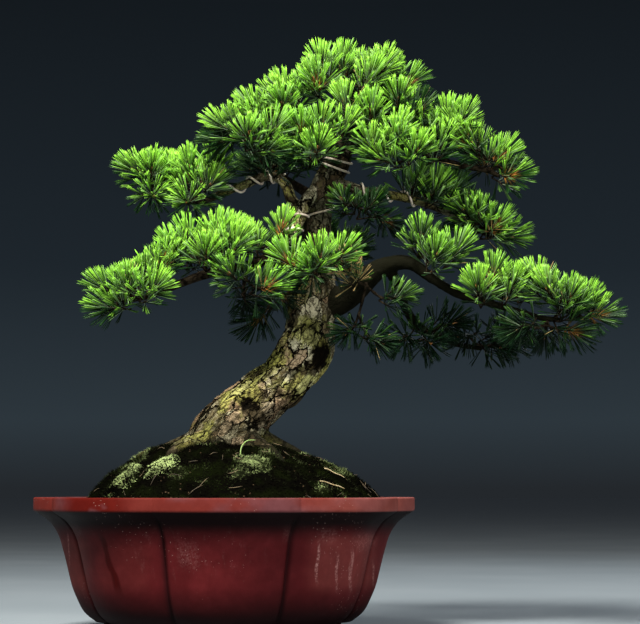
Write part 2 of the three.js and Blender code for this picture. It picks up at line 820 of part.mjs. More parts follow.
function keepLimbClear(limb, steps) {
  const path = route(limb);
  const swell = limb === trunk ? 1 + barkRelief : 1;
  for (let i = 0; i < steps; i += 1) {
    const low = i / steps;
    const high = (i + 1) / steps;
    const [lowRadius, highRadius] = [swell * path.radius(low), swell * path.radius(high)];
    keepClear('wood', 'wood', path.point(low), path.point(high), lowRadius, highRadius);
  }
}

// Twigs and needles

function straightRing(point, direction, radius, sides, turn) {
  const reference = Math.abs(direction.z) > 0.8 ? new THREE.Vector3(1, 0, 0) : new THREE.Vector3(0, 0, 1);
  const side = reference.addScaledVector(direction, -reference.dot(direction)).normalize();
  const other = new THREE.Vector3().crossVectors(direction, side);
  const ring = [];
  for (let s = 0; s < sides; s += 1) {
    const angle = turn + (2 * Math.PI * s) / sides;
    const corner = point.clone().addScaledVector(side, radius * Math.cos(angle));
    ring.push(corner.addScaledVector(other, radius * Math.sin(angle)));
  }
  return ring;
}

// Ways round a piece that stands where a twig would pass: shifts of its bend
const detours = [
  [0, 0, 0], [0, 0, 6], [0, -6, 3], [0, 6, 3], [0, 0, 12], [0, -12, 6], [0, 12, 6], [0, 0, -8],
];

function twigRoute(node, from, base, lift) {
  const length = from.distanceTo(base);
  for (const detour of detours) {
    const bend = new THREE.Vector3().lerpVectors(from, base, bendShare);
    bend.z -= twigSag * length * Math.cos(lift);
    bend.add(new THREE.Vector3(...detour));
    const low = { node, owner: node, from, to: bend, fromRadius: twigRadius, toRadius: twigRadius };
    const high = { node, owner: node, from: bend, to: base, fromRadius: twigRadius, toRadius: shootRadius };
    if (isClearOfOthers(low) && isClearOfOthers(high)) return bend;
  }
  return new THREE.Vector3().lerpVectors(from, base, bendShare);
}

// Links every tuft to the nearest fork or bend, with a bias towards the start of the spray
function twigsOf(node, spray) {
  const path = route(spray.limb);
  const inside = path.point(spray.share);
  const [stubAcross, stubUp, stubToward] = spray.stub;
  const away = new THREE.Vector3(stubAcross, -stubToward, stubUp).normalize();
  const fork = inside.clone().addScaledVector(away, path.radius(spray.share) + stubLength);
  const joints = [{ point: fork, reach: 0 }];
  const tufts = spray.tufts.map(([across, up, nearer, lift]) => {
    return { base: place(across, up, depthSpread * nearer - inside.y), lift };
  });
  tufts.sort((a, b) => a.base.distanceTo(fork) - b.base.distanceTo(fork));
  const twigs = tufts.map(({ base, lift }) => {
    let best = null;
    for (const joint of joints) {
      const cost = joint.point.distanceTo(base) + 0.4 * joint.reach;
      if (best === null || cost < best.cost) best = { joint, cost };
    }
    const from = best.joint.point;
    const outward = new THREE.Vector3().subVectors(base, from).setZ(0);
    if (outward.length() < 4) outward.set(base.x - eye.across, base.y, 0);
    const angle = THREE.MathUtils.degToRad(lift);
    const axis = outward.normalize().multiplyScalar(Math.cos(angle)).setZ(Math.sin(angle));
    const bend = twigRoute(node, from, base, angle);
    joints.push({ point: bend, reach: best.joint.reach + from.distanceTo(bend) });
    return { from, bend, base, axis };
  });
  keepClear(node, node, inside, fork, 1.6 * twigRadius, twigRadius);
  twigs.forEach((twig) => {
    twig.tip = twig.base.clone().addScaledVector(twig.axis, 3 * shootStep);
    keepClear(node, twig, twig.from, twig.bend, twigRadius, twigRadius);
    keepClear(node, twig, twig.bend, twig.base, twigRadius, shootRadius);
    keepClear(node, twig, twig.base, twig.tip, shootRadius, shootRadius);
  });
  return { inside, fork, twigs };
}

// Ways to bend a needle that would cross another piece: turn and opening, in radians
const bends = [[0, 0], [0.25, 0], [-0.25, 0], [0, -0.25], [0, 0.2], [0.4, -0.15], [-0.4, -0.15]];

// The point of the needle that grows on one facet of the shoot, or null where it has no room
function needlePoint(node, twig, facet, opening) {
  const root = new THREE.Vector3();
  facet.forEach((corner) => root.addScaledVector(corner, 1 / 3));
  const sideways = new THREE.Vector3().subVectors(root, twig.base);
  sideways.addScaledVector(twig.axis, -sideways.dot(twig.axis)).normalize();
  for (const [turnBy, openBy] of bends) {
    const turned = sideways.clone().applyAxisAngle(twig.axis, turnBy);
    const direction = twig.axis.clone().multiplyScalar(Math.cos(opening + openBy));
    direction.addScaledVector(turned, Math.sin(opening + openBy));
    const from = root.clone().addScaledVector(direction, 0.05 * needleLength);
    const to = root.clone().addScaledVector(direction, needleLength);
    const candidate = { node, owner: twig, from, to, fromRadius: needleRadius, toRadius: 0 };
    if (isClear(candidate, clearance)) {
      stretches.push(candidate);
      return to;
    }
  }
  return null;
}

// A twig and its tuft in one skin: each facet of the shoot at its end is drawn out into a needle
function leafyTwig(node, twig) {
  const first = new THREE.Vector3().subVectors(twig.bend, twig.from).normalize();
  const second = new THREE.Vector3().subVectors(twig.base, twig.bend).normalize();
  const half = Math.PI / 3;
  const shoot = [1, 2].map((step) => twig.base.clone().addScaledVector(twig.axis, step * shootStep));
  const rings = [
    straightRing(twig.from, first, 0.55 * twigRadius, 3, 0),
    straightRing(twig.bend, first.clone().add(second).normalize(), twigRadius, 3, 0),
    straightRing(twig.base, twig.axis, shootRadius, 3, 0),
    straightRing(shoot[0], twig.axis, shootRadius, 3, half),
    straightRing(shoot[1], twig.axis, 0.9 * shootRadius, 3, 0),
  ];
  const facets = [];
  const needleFacets = [];
  const [root, bend, base, middle, top] = rings;
  facets.push([root[0], root[2], root[1]]);
  for (let s = 0; s < 3; s += 1) {
    const n = (s + 1) % 3;
    const p = (s + 2) % 3;
    facets.push([root[s], root[n], bend[n]], [root[s], bend[n], bend[s]]);
    facets.push([bend[s], bend[n], base[n]], [bend[s], base[n], base[s]]);
    needleFacets.push({ corners: [base[s], base[n], middle[s]], opening: needleOpenings[0] });
    needleFacets.push({ corners: [base[n], middle[n], middle[s]], opening: needleOpenings[1] });
    needleFacets.push({ corners: [middle[p], middle[s], top[s]], opening: needleOpenings[2] });
    needleFacets.push({ corners: [middle[s], top[n], top[s]], opening: needleOpenings[3] });
    needleFacets.push({ corners: [top[s], top[n], twig.tip], opening: needleOpenings[4] });
  }
  needleFacets.forEach(({ corners, opening }) => {
    const [a, b, c] = corners;
    const point = needlePoint(node, twig, corners, opening);
    if (point === null) facets.push(corners);
    else facets.push([a, b, point], [b, c, point], [c, a, point]);
  });
  const geometry = new THREE.BufferGeometry().setFromPoints(facets.flat());
  return toSolid(geometry);
}

function spraySolid(node, { inside, fork, twigs }, woodClear) {
  const away = new THREE.Vector3().subVectors(fork, inside).normalize();
  const end = fork.clone().addScaledVector(away, 0.6 * twigRadius);
  const stub = [
    straightRing(inside, away, 1.9 * twigRadius, 4, 0),
    straightRing(end, away, 1.5 * twigRadius, 4, 0),
  ];
  const solids = twigs.map((twig) => leafyTwig(node, twig));
  return largestBody(joinAll([toSolid(skin(stub)), ...solids]).subtract(woodClear));
}

// Assembly

const bonsai = new THREE.Group();

function addPiece(name, solid, finish) {
  const mesh = new THREE.Mesh(toGeometry(solid), new THREE.MeshStandardMaterial(finish));
  mesh.name = name;
  bonsai.add(mesh);
}

const wood = woodSolid(0);
const woodClear = woodSolid(1.1 * clearance);

addPiece('pot', potSolid(), stoneware);
addPiece('drain_screen_left', screenSolid(-drainAcross), plasticMesh);
addPiece('drain_screen_right', screenSolid(drainAcross), plasticMesh);
addPiece('soil', soilWithHoles(woodClear), darkSoil);
const soilRaised = soilSolid(clearance);
for (const [name, cushion] of Object.entries(mossCushions)) {
  addPiece(name, mossSolid(cushion, soilRaised, woodClear), brightMoss);
}
addPiece('wood', wood, bark);
for (const [name, straw] of Object.entries(straws)) {
  addPiece(name, strawSolid(straw, soilRaised), dryStraw);
}
addPiece('grass', grassSolid(), grassGreen);

keepLimbClear(trunk, 40);
Object.values(branches).forEach((limb) => keepLimbClear(limb, 3 * limb.length));
for (const [name, wire] of Object.entries(wires)) {
  const { solid, points } = wireSolid(wire);
  addPiece(name, solid, copper);
  for (let i = 0; i + 1 < points.length; i += 1) {
    keepClear(name, name, points[i], points[i + 1], wireRadius, wireRadius);
  }
}

const layout = Object.entries(sprays).map(([name, spray]) => ({ name, spray: twigsOf(name, spray) }));
for (const { name, spray } of layout) {
  addPiece(`spray_${name}`, spraySolid(name, spray, woodClear), needleGreen);
}

// The part stands on the floor, with the middle of its plan at the origin
const box = new THREE.Box3().setFromObject(bonsai);
bonsai.position.set(-(box.min.x + box.max.x) / 2, -(box.min.y + box.max.y) / 2, -box.min.z);

export default bonsai;
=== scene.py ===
# Japanese white pine bonsai in an eight-lobed stoneware pot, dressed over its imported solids
import math

import bpy
import numpy as np
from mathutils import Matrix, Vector


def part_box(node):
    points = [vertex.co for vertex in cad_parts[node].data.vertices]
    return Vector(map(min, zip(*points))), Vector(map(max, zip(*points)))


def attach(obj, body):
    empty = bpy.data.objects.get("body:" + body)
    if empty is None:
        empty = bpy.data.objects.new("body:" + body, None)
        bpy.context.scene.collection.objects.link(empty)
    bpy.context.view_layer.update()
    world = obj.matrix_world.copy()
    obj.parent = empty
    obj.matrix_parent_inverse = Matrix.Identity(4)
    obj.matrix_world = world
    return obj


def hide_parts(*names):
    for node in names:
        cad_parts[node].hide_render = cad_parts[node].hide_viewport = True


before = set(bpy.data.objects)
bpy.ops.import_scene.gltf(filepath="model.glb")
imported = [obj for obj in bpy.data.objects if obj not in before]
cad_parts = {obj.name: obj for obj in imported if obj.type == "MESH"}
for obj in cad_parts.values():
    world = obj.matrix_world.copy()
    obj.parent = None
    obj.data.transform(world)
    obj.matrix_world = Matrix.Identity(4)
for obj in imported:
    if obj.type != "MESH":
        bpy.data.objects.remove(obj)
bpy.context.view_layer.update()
potLow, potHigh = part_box("pot")
potMiddle = np.array([potLow.x + potHigh.x, potLow.y + potHigh.y, 0]) * 500  # half the sum, in millimetres
print("stage: frame loaded, pot centred at", potMiddle.round(2), "mm")

# Everything below is laid out in millimetres round the pot's own axis, +Z up, front towards -Y
mm = 0.001
goldenTurn = math.pi * (3 - math.sqrt(5))  # spreads a spiral evenly
eye = {"across": 105, "up": 155, "distance": 2400}  # the tree is laid out as it shows from this point
cameraLook = {"aim": (104.2, 0, 348.2), "lens": 123}
lights = {
    "keyLight": {"at": (-600, -1450, 2250), "size": 650, "power": 170, "tint": (1, 0.98, 0.93)},
    "fillLight": {"at": (1700, -2300, 800), "size": 900, "power": 42, "tint": (0.95, 0.97, 1)},
    "backLight": {"at": (900, 1600, 1700), "size": 1000, "power": 16, "tint": (0.9, 0.95, 1)},
}
roomLook = {  # tones of the sky by height, from the horizon up
    "tones": [(0.0, (0.0175, 0.021, 0.025)), (0.03, (0.026, 0.037, 0.046)), (0.1, (0.013, 0.019, 0.025)),
              (0.22, (0.007, 0.01, 0.013)), (0.5, (0.07, 0.075, 0.085))],
    "floorSize": 60000,
}


def toFrame(points):
    return (np.asarray(points, float) + potMiddle) * mm


def newObject(name, data):
    made = bpy.data.objects.new(name, data)
    bpy.context.scene.collection.objects.link(made)
    return made


def aimed(name, data, at):  # a lamp or a camera that looks at the aim
    holder = newObject(name, data)
    holder.location = toFrame(at)
    aim = Vector(toFrame(cameraLook["aim"])) - holder.location
    holder.rotation_euler = aim.to_track_quat("-Z", "Y").to_euler()
    return holder


def addCamera():
    lens = bpy.data.cameras.new("photoView")
    lens.lens = cameraLook["lens"]
    bpy.context.scene.camera = aimed("photoView", lens, (eye["across"], -eye["distance"], eye["up"]))


def addLights():
    for name, look in lights.items():
        lamp = bpy.data.lights.new(name, "AREA")
        lamp.energy = look["power"]
        lamp.size = look["size"] * mm
        lamp.color = look["tint"]
        aimed(name, lamp, look["at"])


def addRoom():
    room = bpy.data.worlds.new("paleRoom")
    room.use_nodes = True
    tree = room.node_tree
    way = tree.nodes.new("ShaderNodeTexCoord").outputs["Generated"]
    upward = tree.nodes.new("ShaderNodeSeparateXYZ")
    ramp = tree.nodes.new("ShaderNodeValToRGB")
    stops = ramp.color_ramp.elements
    for number, (height, tone) in enumerate(roomLook["tones"]):
        stop = stops.new(height) if number else stops[0]
        stop.position, stop.color = height, (*tone, 1)
    stops.remove(stops[-1])  # the one that a new ramp has at its end
    tree.links.new(way, upward.inputs["Vector"])
    tree.links.new(upward.outputs["Z"], ramp.inputs["Fac"])
    tree.links.new(ramp.outputs["Color"], tree.nodes["Background"].inputs["Color"])
    bpy.context.scene.world = room
    bpy.context.scene.view_settings.view_transform = "Standard"


addCamera()
addLights()
addRoom()
print("stage: camera and lights placed")


# Repeatable noise, the same on every run
def hashed(cells, seed):
    whole = cells.astype(np.int64)
    mixed = (whole[:, 0] * 73856093) ^ (whole[:, 1] * 19349663) ^ (whole[:, 2] * 83492791) ^ (seed * 40503)
    mixed = (mixed ^ (mixed >> 13)) * 1274126177
    mixed = (mixed ^ (mixed >> 16)) * 668265263
    return ((mixed ^ (mixed >> 15)) & 0xFFFFFF) / 0xFFFFFF


def softNoise(points, seed=0):  # -1 to 1, one lump to a unit
    cell = np.floor(points)
    part = points - cell
    part = part * part * (3 - 2 * part)
    total = np.zeros(len(points))
    for corner in np.ndindex(2, 2, 2):
        weight = np.prod(np.where(np.array(corner) == 1, part, 1 - part), axis=1)
        total += weight * hashed(cell + corner, seed)
    return 2 * total - 1


def cellPattern(points, seed=0):  # distance to the nearest and second nearest cell centre, tone of the cell
    cell = np.floor(points)
    nearest = np.full(len(points), 9.0)
    second = nearest.copy()
    tone = np.zeros(len(points))
    for step in np.ndindex(3, 3, 3):
        here = cell + np.array(step) - 1
        centre = here + np.stack([hashed(here, seed + k) for k in (1, 2, 3)], axis=1)
        away = np.linalg.norm(points - centre, axis=1)
        closer = away < nearest
        second = np.where(closer, nearest, np.minimum(second, away))
        tone = np.where(closer, hashed(here, seed + 4), tone)
        nearest = np.where(closer, away, nearest)
    return nearest, second, tone


def ease(low, high, value):
    share = np.clip((value - low) / (high - low), 0, 1)
    return share * share * (3 - 2 * share)


def unit(vectors):
    length = np.linalg.norm(vectors, axis=-1, keepdims=True)
    return vectors / np.maximum(length, 1e-9)


def evenAngles(count):
    return 2 * np.pi * np.arange(count) / count


# Closed skin over a stack of rings, with a fan over each end
def skinOver(rings):
    stack, count = rings.shape[:2]
    points = np.concatenate([rings.reshape(-1, 3), rings[:1].mean(axis=1), rings[-1:].mean(axis=1)])
    ring = np.arange(count)
    following = (ring + 1) % count
    row = np.arange(stack - 1)[:, None] * count
    a, b = row + ring, row + following
    sides = np.concatenate([np.stack([a, b, b + count], -1), np.stack([a, b + count, a + count], -1)])
    last = (stack - 1) * count
    bottom = np.stack([np.full(count, stack * count), following, ring], -1)
    top = np.stack([np.full(count, stack * count + 1), last + ring, last + following], -1)
    return points, np.concatenate([sides.reshape(-1, 3), bottom, top])


def together(parts):
    points, faces, start = [], [], 0
    for some, corners in parts:
        points.append(some)
        faces.append(corners + start)
        start += len(some)
    return np.concatenate(points), np.concatenate(faces)


def newMesh(name, points, faces):
    mesh = bpy.data.meshes.new(name)
    mesh.from_pydata(points, [], faces)
    mesh.polygons.foreach_set("use_smooth", np.ones(len(mesh.polygons), bool))
    return mesh


# Marks are numbers or places kept on the points or faces, which the finishes read by name
def addMark(mesh, mark, value, domain):
    several = np.ndim(value) == 2
    made = mesh.attributes.new(mark, "FLOAT_VECTOR" if several else "FLOAT", domain)
    made.data.foreach_set("vector" if several else "value", np.asarray(value, np.float32).ravel())


def addPiece(name, points, faces, materials, slot, nodes, marks=None, faceMarks=None, finish=None):
    mesh = newMesh(name, toFrame(points), faces)
    for material in materials:
        mesh.materials.append(material)
    if finish is not None:
        mesh.polygons.foreach_set("material_index", np.asarray(finish, np.int32))
    for mark, value in (marks or {}).items():
        addMark(mesh, mark, value, "POINT")
    for mark, value in (faceMarks or {}).items():
        addMark(mesh, mark, value, "FACE")
    mesh.update()
    piece = newObject(name, mesh)
    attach(piece, "root")
    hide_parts(*nodes)
    return piece


# The tree's lines, row by row: across, up, towards the viewer, radius
trunk = [
    [2, 152, 0, 40], [2, 176, 0, 52], [1, 196, 0, 46], [5, 214, 2, 40], [19, 236, 4, 33.5],
    [45, 257, 6, 29.5], [70, 279, 8, 28.5], [88, 308, 8, 29], [94, 339, 6, 25.5], [96, 368, 4, 24],
    [100, 401, 4, 21], [101, 434, 6, 16.5], [103, 462, 8, 15], [108, 486, 8, 14.5], [120, 508, 8, 15],
    [127, 528, 10, 13], [133, 552, 12, 9], [127, 577, 14, 5.5], [118, 599, 14, 4],
]
roots = [
    [[0, 214, 4, 22], [-36, 203, 8, 14], [-66, 192, 12, 11], [-90, 185, 14, 8.5], [-106, 166, 12, 4]],
    [[0, 208, 16, 20], [-34, 200, 36, 14], [-54, 191, 54, 10], [-70, 168, 72, 5]],
    [[18, 206, 16, 18], [44, 194, 46, 11], [62, 180, 68, 6.5], [74, 160, 84, 4]],
    [[24, 212, 4, 18], [58, 199, 2, 10.5], [86, 186, -2, 7], [106, 164, -6, 4]],
    [[0, 208, -16, 20], [-28, 196, -46, 12], [-46, 182, -72, 7], [-56, 162, -90, 4]],
    [[18, 206, -16, 18], [42, 193, -50, 10], [54, 178, -76, 6], [60, 158, -92, 4]],
]
branches = {
    "lowerRight": [
        [107, 352, 4, 16], [133, 365, 12, 15], [155, 385, 20, 13], [177, 400, 28, 9.5], [204, 402, 36, 7.5],
        [228, 385, 42, 5.5], [259, 367, 46, 4.6], [298, 356, 50, 4], [342, 343, 54, 3.3], [369, 339, 56, 2.8],
    ],
    "lowerRightBack": [
        [180, 399, 28, 7], [191, 372, 8, 5.5], [202, 346, -14, 5], [221, 327, -38, 4.4], [254, 313, -66, 3.3],
        [281, 308, -84, 2.8],
    ],
    "lowerLeft": [
        [105, 487, 8, 9], [89, 471, 22, 7.8], [80, 449, 32, 7], [67, 423, 42, 6.5], [41, 405, 52, 6],
        [12, 396, 60, 5.5], [-21, 390, 64, 5.2], [-49, 380, 66, 4.4], [-82, 367, 66, 3.8], [-109, 361, 64, 3],
    ],
    "leftUpper": [
        [101, 455, 4, 8], [76, 468, -8, 6.8], [67, 488, -14, 6], [56, 498, -18, 5.6], [41, 498, -20, 5.2],
        [23, 490, -22, 4.8], [1, 482, -26, 4.4], [-21, 473, -30, 3.9], [-40, 472, -36, 3.5],
        [-65, 482, -44, 3.2], [-82, 489, -50, 2.7],
    ],
    "rightMiddle": [
        [112, 495, 8, 8], [138, 487, 18, 6], [162, 480, 18, 5.4], [193, 476, 12, 4.9], [224, 467, 2, 4.4],
        [254, 454, -8, 3.8], [279, 439, -16, 3.2], [293, 432, -20, 2.7],
    ],
    "rightShoulder": [
        [129, 536, 10, 7], [160, 552, 16, 5.6], [193, 544, 18, 4.9], [226, 522, 20, 4.3], [259, 511, 22, 3.8],
        [287, 506, 24, 3.2], [301, 500, 24, 2.7],
    ],
    "leftShoulder": [
        [125, 528, 10, 7], [94, 539, 26, 5.2], [72, 539, 36, 4.4], [50, 535, 42, 3.8], [25, 542, 46, 2.8],
    ],
    "crownLeft": [[132, 552, 12, 6], [105, 573, 16, 4.4], [85, 574, 14, 3.6], [72, 577, 12, 2.9]],
    "crownRight": [[132, 552, 12, 6], [151, 570, 6, 4.4], [176, 583, 0, 3.4], [186, 592, -4, 2.8]],
    "front": [[101, 430, 6, 9], [100, 421, 32, 5.4], [101, 409, 52, 4]],
    "backLower": [
        [98, 380, 0, 13], [103, 392, -32, 8.5], [111, 398, -64, 7], [112, 402, -96, 5.6],
        [105, 405, -130, 4.2], [99, 408, -150, 3],
    ],
    "backMiddle": [
        [104, 466, 4, 9], [94, 477, -32, 6.6], [81, 486, -64, 5.2], [71, 493, -94, 4], [65, 498, -112, 3],
    ],
    "backUpper": [[128, 528, 8, 8], [146, 534, -28, 5.6], [164, 540, -58, 4.4], [175, 546, -84, 3]],
}

# Sprays: the limb that carries one, how far along it, which way its stub points (across, up, towards
# the viewer), and its tufts: across, up, towards the viewer from the stub, degrees that it looks up
sprays = {
    "crown_top": ["trunk", 0.99, [-0.1, 1, 0], [
        [108, 614, 2, 80], [128, 616, -8, 75], [155, 599, 8, 60], [169, 614, -6, 55],
        [122, 605, -32, 60], [145, 609, -40, 55], [103, 596, 20, 50]]],
    "crown_right": ["crownRight", 0.89, [0.7, 0.6, 0], [
        [181, 609, -3, 60], [197, 600, -5, 25], [191, 576, 19, 45], [172, 594, -33, 45],
        [191, 587, -23, 35]]],
    "crown_left": ["crownLeft", 0.92, [-1, 0.3, 0], [
        [70, 583, 2, 60], [86, 588, 12, 70], [64, 572, 16, 35], [36, 568, -6, 40],
        [28, 554, 4, 10], [56, 583, -28, 50], [41, 563, -36, 35]]],
    "left_shoulder": ["leftShoulder", 0.97, [-0.9, 0.4, 0], [
        [5, 550, -4, 25], [48, 543, 18, 50], [41, 526, 16, 0], [24, 538, 14, 35],
        [-3, 539, -18, 5], [17, 554, -30, 40], [36, 556, -40, 50]]],
    "crown_front": ["leftShoulder", 0.25, [0, 0.3, 1], [
        [86, 541, 22, 45], [103, 545, 28, 60], [127, 543, 26, 60], [81, 521, 22, 10],
        [100, 523, 34, 30]]],
    "crown_middle": ["rightShoulder", 0.17, [0, 0.7, 0.8], [
        [206, 565, 12, 45], [164, 526, 32, 45], [185, 539, 28, 55], [135, 570, 22, 65],
        [161, 561, 24, 60]]],
    "crown_back": ["crownRight", 0.67, [0.1, 0.2, -1], [
        [177, 566, -42, 50], [160, 574, -48, 35], [196, 562, -42, 25]]],
    "right_fans": ["rightShoulder", 0.4, [-0.2, 0.2, 1], [
        [181, 514, 29, 15], [208, 519, 27, 35], [195, 530, 21, 50], [233, 526, 15, 55]]],
    "right_shoulder": ["rightShoulder", 0.57, [0, 1, 0], [
        [244, 553, 4, 65], [257, 552, 10, 55], [221, 546, 8, 60], [226, 552, -26, 50],
        [254, 542, -32, 45]]],
    "right_shoulder_tip": ["rightShoulder", 0.91, [0.4, 0.9, 0], [
        [268, 534, 7, 50], [281, 527, 5, 45], [298, 516, 1, 35], [308, 499, 5, 0],
        [288, 510, -25, 30]]],
    "left_upper_tip": ["leftUpper", 0.98, [-1, 0.4, 0], [
        [-92, 500, 2, 25], [-83, 497, 14, 50], [-82, 478, 12, -15], [-68, 495, -10, 60],
        [-75, 490, -24, 40]]],
    "left_upper": ["leftUpper", 0.76, [0, 1, 0], [
        [-38, 497, 11, 65], [-14, 503, 7, 65], [-23, 482, 23, 35], [-40, 470, 19, -10],
        [-52, 493, -1, 60], [-27, 490, -25, 45]]],
    "left_upper_inner": ["leftUpper", 0.34, [0, 1, -0.2], [
        [56, 512, 10, 60], [41, 512, -14, 50]]],
    "right_middle": ["rightMiddle", 0.49, [0, 1, 0], [
        [206, 484, 3, 60], [228, 477, 7, 60], [246, 476, 1, 60], [221, 475, -27, 45]]],
    "right_middle_tip": ["rightMiddle", 0.9, [0, 1, 0], [
        [262, 464, 6, 50], [269, 454, 16, 30], [281, 448, 8, 45], [292, 438, 10, 30],
        [303, 431, 2, 0], [274, 444, -22, 40]]],
    "inner_middle": ["rightMiddle", 0.19, [0, -0.6, 0.8], [
        [134, 466, 19, 30], [156, 462, 19, 40], [172, 452, 13, -35], [145, 467, -19, 10]]],
    "lower_left_tip": ["lowerLeft", 0.98, [-0.6, 0.9, 0], [
        [-120, 352, 0, 0], [-126, 369, -4, 30], [-108, 368, 8, 50], [-84, 368, 20, 35],
        [-82, 389, -2, 60], [-70, 397, 2, 65], [-103, 376, -26, 40], [-86, 384, -34, 45]]],
    "lower_left": ["lowerLeft", 0.67, [0, 1, 0], [
        [-51, 409, -4, 60], [-38, 420, -6, 65], [-12, 428, -4, 65], [1, 422, 2, 60],
        [-21, 405, 16, 40], [5, 414, 18, 45], [-38, 405, -30, 45], [-10, 412, -36, 50]]],
    "lower_left_inner": ["lowerLeft", 0.42, [0, 1, 0.2], [
        [28, 422, 7, 65], [60, 433, 13, 65], [37, 417, -29, 50]]],
    "lower_left_front": ["lowerLeft", 0.49, [0, -0.3, 1], [
        [12, 384, 23, 25], [41, 374, 21, 20], [21, 364, 11, -10]]],
    "lower_left_hanging": ["lowerLeft", 0.39, [-0.1, -1, 0], [
        [41, 345, -4, -45], [60, 368, -10, -20]]],
    "front_centre": ["front", 0.89, [0, -0.2, 1], [
        [75, 398, 24, 40], [103, 399, 28, 50], [122, 405, 18, 35], [96, 392, 16, 5]]],
    "right_lower_top": ["lowerRight", 0.48, [0.1, 1, 0], [
        [215, 422, 9, 60], [228, 402, 21, 45], [250, 408, 9, 50], [228, 416, -23, 50]]],
    "right_lower": ["lowerRight", 0.74, [0, 1, 0], [
        [279, 366, 18, 50], [292, 378, 6, 65], [312, 368, 12, 60], [298, 372, -24, 45],
        [332, 369, -26, 45]]],
    "right_lower_tip": ["lowerRight", 0.97, [0.5, 0.9, 0], [
        [347, 373, 10, 60], [360, 363, 14, 50], [375, 354, 10, 55], [391, 351, 2, 45],
        [402, 343, 2, 5], [382, 357, -24, 40]]],
    "right_lower_hanging": ["lowerRight", 0.92, [0.4, -1, 0.2], [
        [375, 330, 8, -30], [352, 328, -6, -35], [330, 334, 10, -30]]],
    "right_inner": ["lowerRight", 0.22, [0, -0.5, 0.9], [
        [139, 389, 26, 55], [184, 363, 22, 5], [161, 318, 20, -20], [140, 330, 22, -30]]],
    "right_hanging": ["lowerRightBack", 0.98, [1, 0.3, 0], [
        [292, 312, 3, -15], [266, 323, 11, -15], [310, 314, -7, 0], [301, 324, -29, 20]]],
    "right_hanging_inner": ["lowerRightBack", 0.58, [-0.2, -0.2, 1], [
        [199, 322, 36, -25], [239, 333, 14, 10], [222, 316, 18, -15]]],
    "back_lower": ["backLower", 0.97, [0, 0.7, -0.7], [
        [99, 418, -15, 20], [74, 412, 1, 25], [126, 416, 7, 30], [100, 430, 15, 60],
        [78, 404, 23, 15]]],
    "back_lower_inner": ["backLower", 0.52, [0.3, 1, 0], [
        [136, 414, -8, 40], [112, 424, 8, 60], [92, 416, -10, 40]]],
    "back_middle": ["backMiddle", 0.95, [-0.2, 0.7, -0.7], [
        [58, 504, -15, 20], [38, 500, 9, 25], [66, 512, 11, 60], [90, 508, 7, 40]]],
    "back_upper": ["backUpper", 0.96, [0.2, 0.7, -0.7], [
        [180, 552, -15, 20], [156, 558, 1, 50], [198, 550, 3, 25], [174, 562, 15, 60]]],
}


def place(across, up, toward):  # the real place of a point that shows at (across, up) from the eye
    nearer = 1 - toward / eye["distance"]
    x = eye["across"] + (across - eye["across"]) * nearer
    return np.array([x, -toward, eye["up"] + (up - eye["up"]) * nearer])


def smoothCurve(controls, shares):  # an even Catmull-Rom curve
    controls = np.asarray(controls, float)
    first = 2 * controls[0] - controls[1]
    last = 2 * controls[-1] - controls[-2]
    padded = np.concatenate([[first], controls, [last]])
    along = np.clip(np.atleast_1d(shares), 0, 1) * (len(controls) - 1)
    start = np.minimum(along.astype(int), len(controls) - 2)
    t = (along - start).reshape(-1, *[1] * (controls.ndim - 1))
    p0, p1, p2, p3 = (padded[start + k] for k in range(4))
    bend = 2 * p0 - 5 * p1 + 4 * p2 - p3
    twist = 3 * (p1 - p2) + p3 - p0
    return 0.5 * (2 * p1 + t * (p2 - p0 + t * (bend + t * twist)))


def limbPoints(limb, shares):
    return smoothCurve([place(*row[:3]) for row in limb], shares)


def limbRadius(limb, shares):
    return smoothCurve([row[3] for row in limb], shares)


def framesAlong(pointAt, shares):  # centres with a side and a cross side that follow the curve untwisted
    centres = pointAt(shares)
    tangents = unit(pointAt(np.minimum(shares + 1e-4, 1)) - pointAt(np.maximum(shares - 1e-4, 0)))
    side = np.array([1.0, 0, 0]) if abs(tangents[0][2]) > 0.8 else np.array([0, 0, 1.0])
    sides = []
    for tangent in tangents:
        side = unit(side - tangent * side.dot(tangent))
        sides.append(side)
    return centres, tangents, np.array(sides), np.cross(tangents, sides)


def ringsAlong(centres, sides, others, radii, count):  # radii: one for all, one a ring, or one a point
    angle = evenAngles(count)
    radii = np.asarray(radii, float)
    radii = np.broadcast_to(radii[:, None] if radii.ndim == 1 else radii, (len(centres), count))
    over = (radii * np.cos(angle))[..., None] * sides[:, None]
    return centres[:, None] + over + (radii * np.sin(angle))[..., None] * others[:, None]


def tubeAlong(line, radii, count):
    centres, _, sides, others = framesAlong(lambda s: smoothCurve(line, s), np.linspace(0, 1, len(radii)))
    return skinOver(ringsAlong(centres, sides, others, radii, count))


limbs = {"trunk": trunk, **branches}

# Training wires: limb, where they start and end on it, where the first turn starts, turns, stand-off
wires = {
    "wire_trunk_upper": ["trunk", 0.772, 0.815, 0.6, 1.75, 0.9],
    "wire_trunk_lower": ["trunk", 0.647, 0.685, 0.61, 0.51, 0.15],
    "wire_lower_left": ["lowerLeft", 0.19, 0.36, 0, 2.6, 1],
    "wire_left_upper": ["leftUpper", 0.26, 0.6, 0, 3.1, 0.7],
    "wire_right_middle": ["rightMiddle", 0.2, 0.56, 0, 3, 0.6],
}
wireLook = {"radius": 1.2, "sides": 10, "stepsPerTurn": 24, "dents": 0.04}


